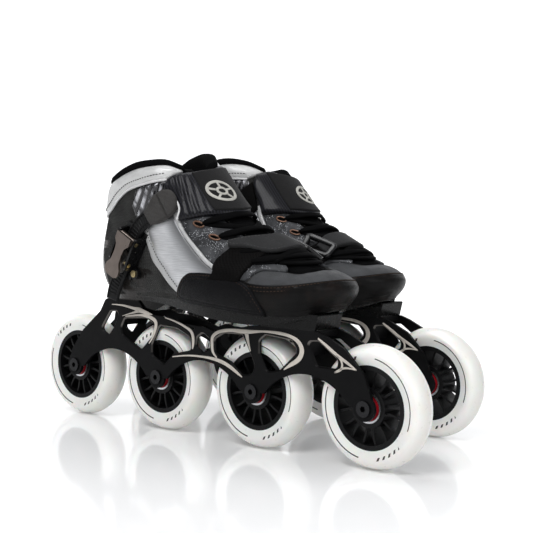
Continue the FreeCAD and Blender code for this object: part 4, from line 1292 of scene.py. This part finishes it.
def sign_at(centre, out):
    """A pale wheel sign: a rim, a hub and spokes, printed thick."""
    parts = []
    turn = np.linspace(0, 2 * np.pi, 48, endpoint=False)
    for radius, width in ((10.0, 2.6), (3.4, 2.2)):
        path, normals = spot(centre, radius * np.cos(turn), radius * np.sin(turn), out)
        parts.append(sweep(path, normals, flat_profile(width, 0.7, 0.2), closed=True))
    for k in range(5):
        a = 2 * math.pi * k / 5 + 0.3
        share = np.linspace(4.4, 8.9, 6)
        path, normals = spot(centre, share * math.cos(a), share * math.sin(a), out)
        parts.append(sweep(path, normals, flat_profile(2.0, 0.65, 0.2)))
    both("strap_sign", *join(parts), "mark", "ankle_strap")


LADDER_Y = -37.3  # the toothed strap's middle, beside the boot


def ladder():
    """Toothed strap from under the buckle up to the cloth-covered end plate on the ankle strap."""
    line = ((-24, 184), (-38, 177.5), (-52, 168), (-60, 155), (-66, 143), (-73, 129), (-79, 118),
            (-81.5, 109))
    p = np.array(line, float)
    path = flat_line(p, np.linspace(0, running(p)[-1], 90), LADDER_Y)
    normals = np.tile((0.0, -1.0, 0.0), (len(path), 1))
    parts = [sweep(path, normals, flat_profile(13.5, 2.0))]
    top = np.array((0, -1.1, 0))
    tangent = np.gradient(path, axis=0)
    tangent /= np.linalg.norm(tangent, axis=1, keepdims=True)
    for edge in (-5.6, 5.6):
        parts.append(sweep(path + np.cross(normals, tangent) * edge + top, normals, flat_profile(1.6, 0.9)))
    wedge = np.array([(-0.9, -0.5), (-0.7, 0.55), (0.1, 0.35), (1.1, -0.5)])[::-1]
    teeth = resample(path, 2.8)[3:-1]
    for a, b in zip(teeth, teeth[1:]):
        across = np.cross((0, -1, 0), (b - a) / np.linalg.norm(b - a))
        bar = [a + across * s + top for s in np.linspace(-4.6, 4.6, 5)]
        parts.append(sweep(bar, [(0, -1, 0)] * 5, wedge))
    both("ladder_strap_teeth", *join(parts), "ladder", "ladder_strap", ["ladder_strap"])

    slit_from, slit_to = np.array((-28.5, 196.0)), np.array((-15.5, 176.0))
    slit = (slit_to - slit_from) / np.linalg.norm(slit_to - slit_from)

    def groove(wz, d):
        q = bare(wz[:, 0], wz[:, 1])[:, [0, 2]] - slit_from
        off = q @ np.array((slit[1], -slit[0]))
        return -2.2 * np.exp(-((off / 0.75) ** 2))

    top = [outer(x, z) for x, z in ((-42, 181), (-36, 189), (-30, 196), (-24, 199))]
    ahead = [outer(x, z) for x, z in ((-18, 198), (-13, 193), (-10.5, 186), (-12, 180), (-17, 176))]
    low = [outer(x, z) for x, z in ((-17, 176), (-25, 173), (-34, 171.5))]
    outline = loop(top, [top[-1]] + ahead, low, [low[-1], top[0]])
    plate = Panel(outline, 4.2, 3.4, edge=1.4, crown=0.3, sink=1.0, step=0.9, relief=groove)
    panel_piece("end_plate", plate, "end_plate", "ladder_strap")


def instep_strap():
    """Webbing over the instep that folds back through a ring, with its free end on top."""
    rear = [outer(33, 131), outer(37, 141), outer(41, 150), front(-25, 156.5), front(-14, 158),
            front(0, 158.5), front(14, 157), front(24, 153.5), inner(49, 149), inner(48, 141), inner(45, 131)]
    ahead = [inner(73, 131), inner(74, 137), inner(73, 143), above(71, 27), above(70, 14), above(69, 0),
             above(68, -12), above(67, -24), outer(66, 140), outer(64, 134), outer(62, 130)]
    web = Panel(between(rear, ahead), 2.6, 1.4, edge=0.8, crown=0.2, sink=1.2, step=1.6)
    panel_piece("instep_web", web, "webbing", "webbing", ["instep_strap"])

    rear = [front(x, z) for x, z in ((-28, 157), (-21, 159.5), (-7, 160.5), (5, 160), (15, 158))]
    rear += [inner(57, 151)]
    ahead = [front(x, z) for x, z in ((20, 148.5), (7, 151), (-6, 150.5), (-19, 149), (-27, 152))]
    ahead = [inner(73, 143.5)] + ahead
    tip = [ahead[-1], front(-30.5, 154), rear[0]]

    def hump(wz, d):
        y = bare(wz[:, 0], wz[:, 1])[:, 1]
        return 1.6 * np.exp(-(((y - 8) / 12) ** 2)) + 0.8 * smooth((-y - 18) / 8)

    outline = loop(rear, [rear[-1], ahead[0]], ahead, tip)
    tab = Panel(outline, 4.5, 1.4, edge=0.9, crown=0.2, sink=0.9, step=1.4, relief=hump)
    panel_piece("instep_tab", tab, "plain_felt", "webbing")
    moved, good = inset(tab.outline, 2.0)
    line = moved[good]
    heights = hump(line, None)
    near = (line[:, 0] < 0.93) & (heights < 3.5)
    thread_piece("tab_stitching", [(line[near], 6.0 + heights[near])], "grey_thread", "webbing")


def ring():
    """Moulded ring that the instep webbing folds through, on the inner side."""
    corners = np.array([inner(45, 158), inner(71, 149), inner(74, 141), inner(48, 148)])
    sides = zip(corners, np.roll(corners, -1, axis=0))
    wz = np.array([a + (b - a) * t for a, b in sides for t in np.linspace(0.06, 0.94, 12)])
    swept = sweep(*over(wz, 6.4), flat_profile(5.2, 4.2, 1.3), closed=True)
    both("strap_ring", *swept, "ring", "ring", ["instep_ring"])


room()
dress_frame()
accents()
quarter()
collar()
lining()
footbed()
tongue()
side_panels()
toe()
eyelets()
laces()
ankle_strap()
ladder()
instep_strap()
ring()
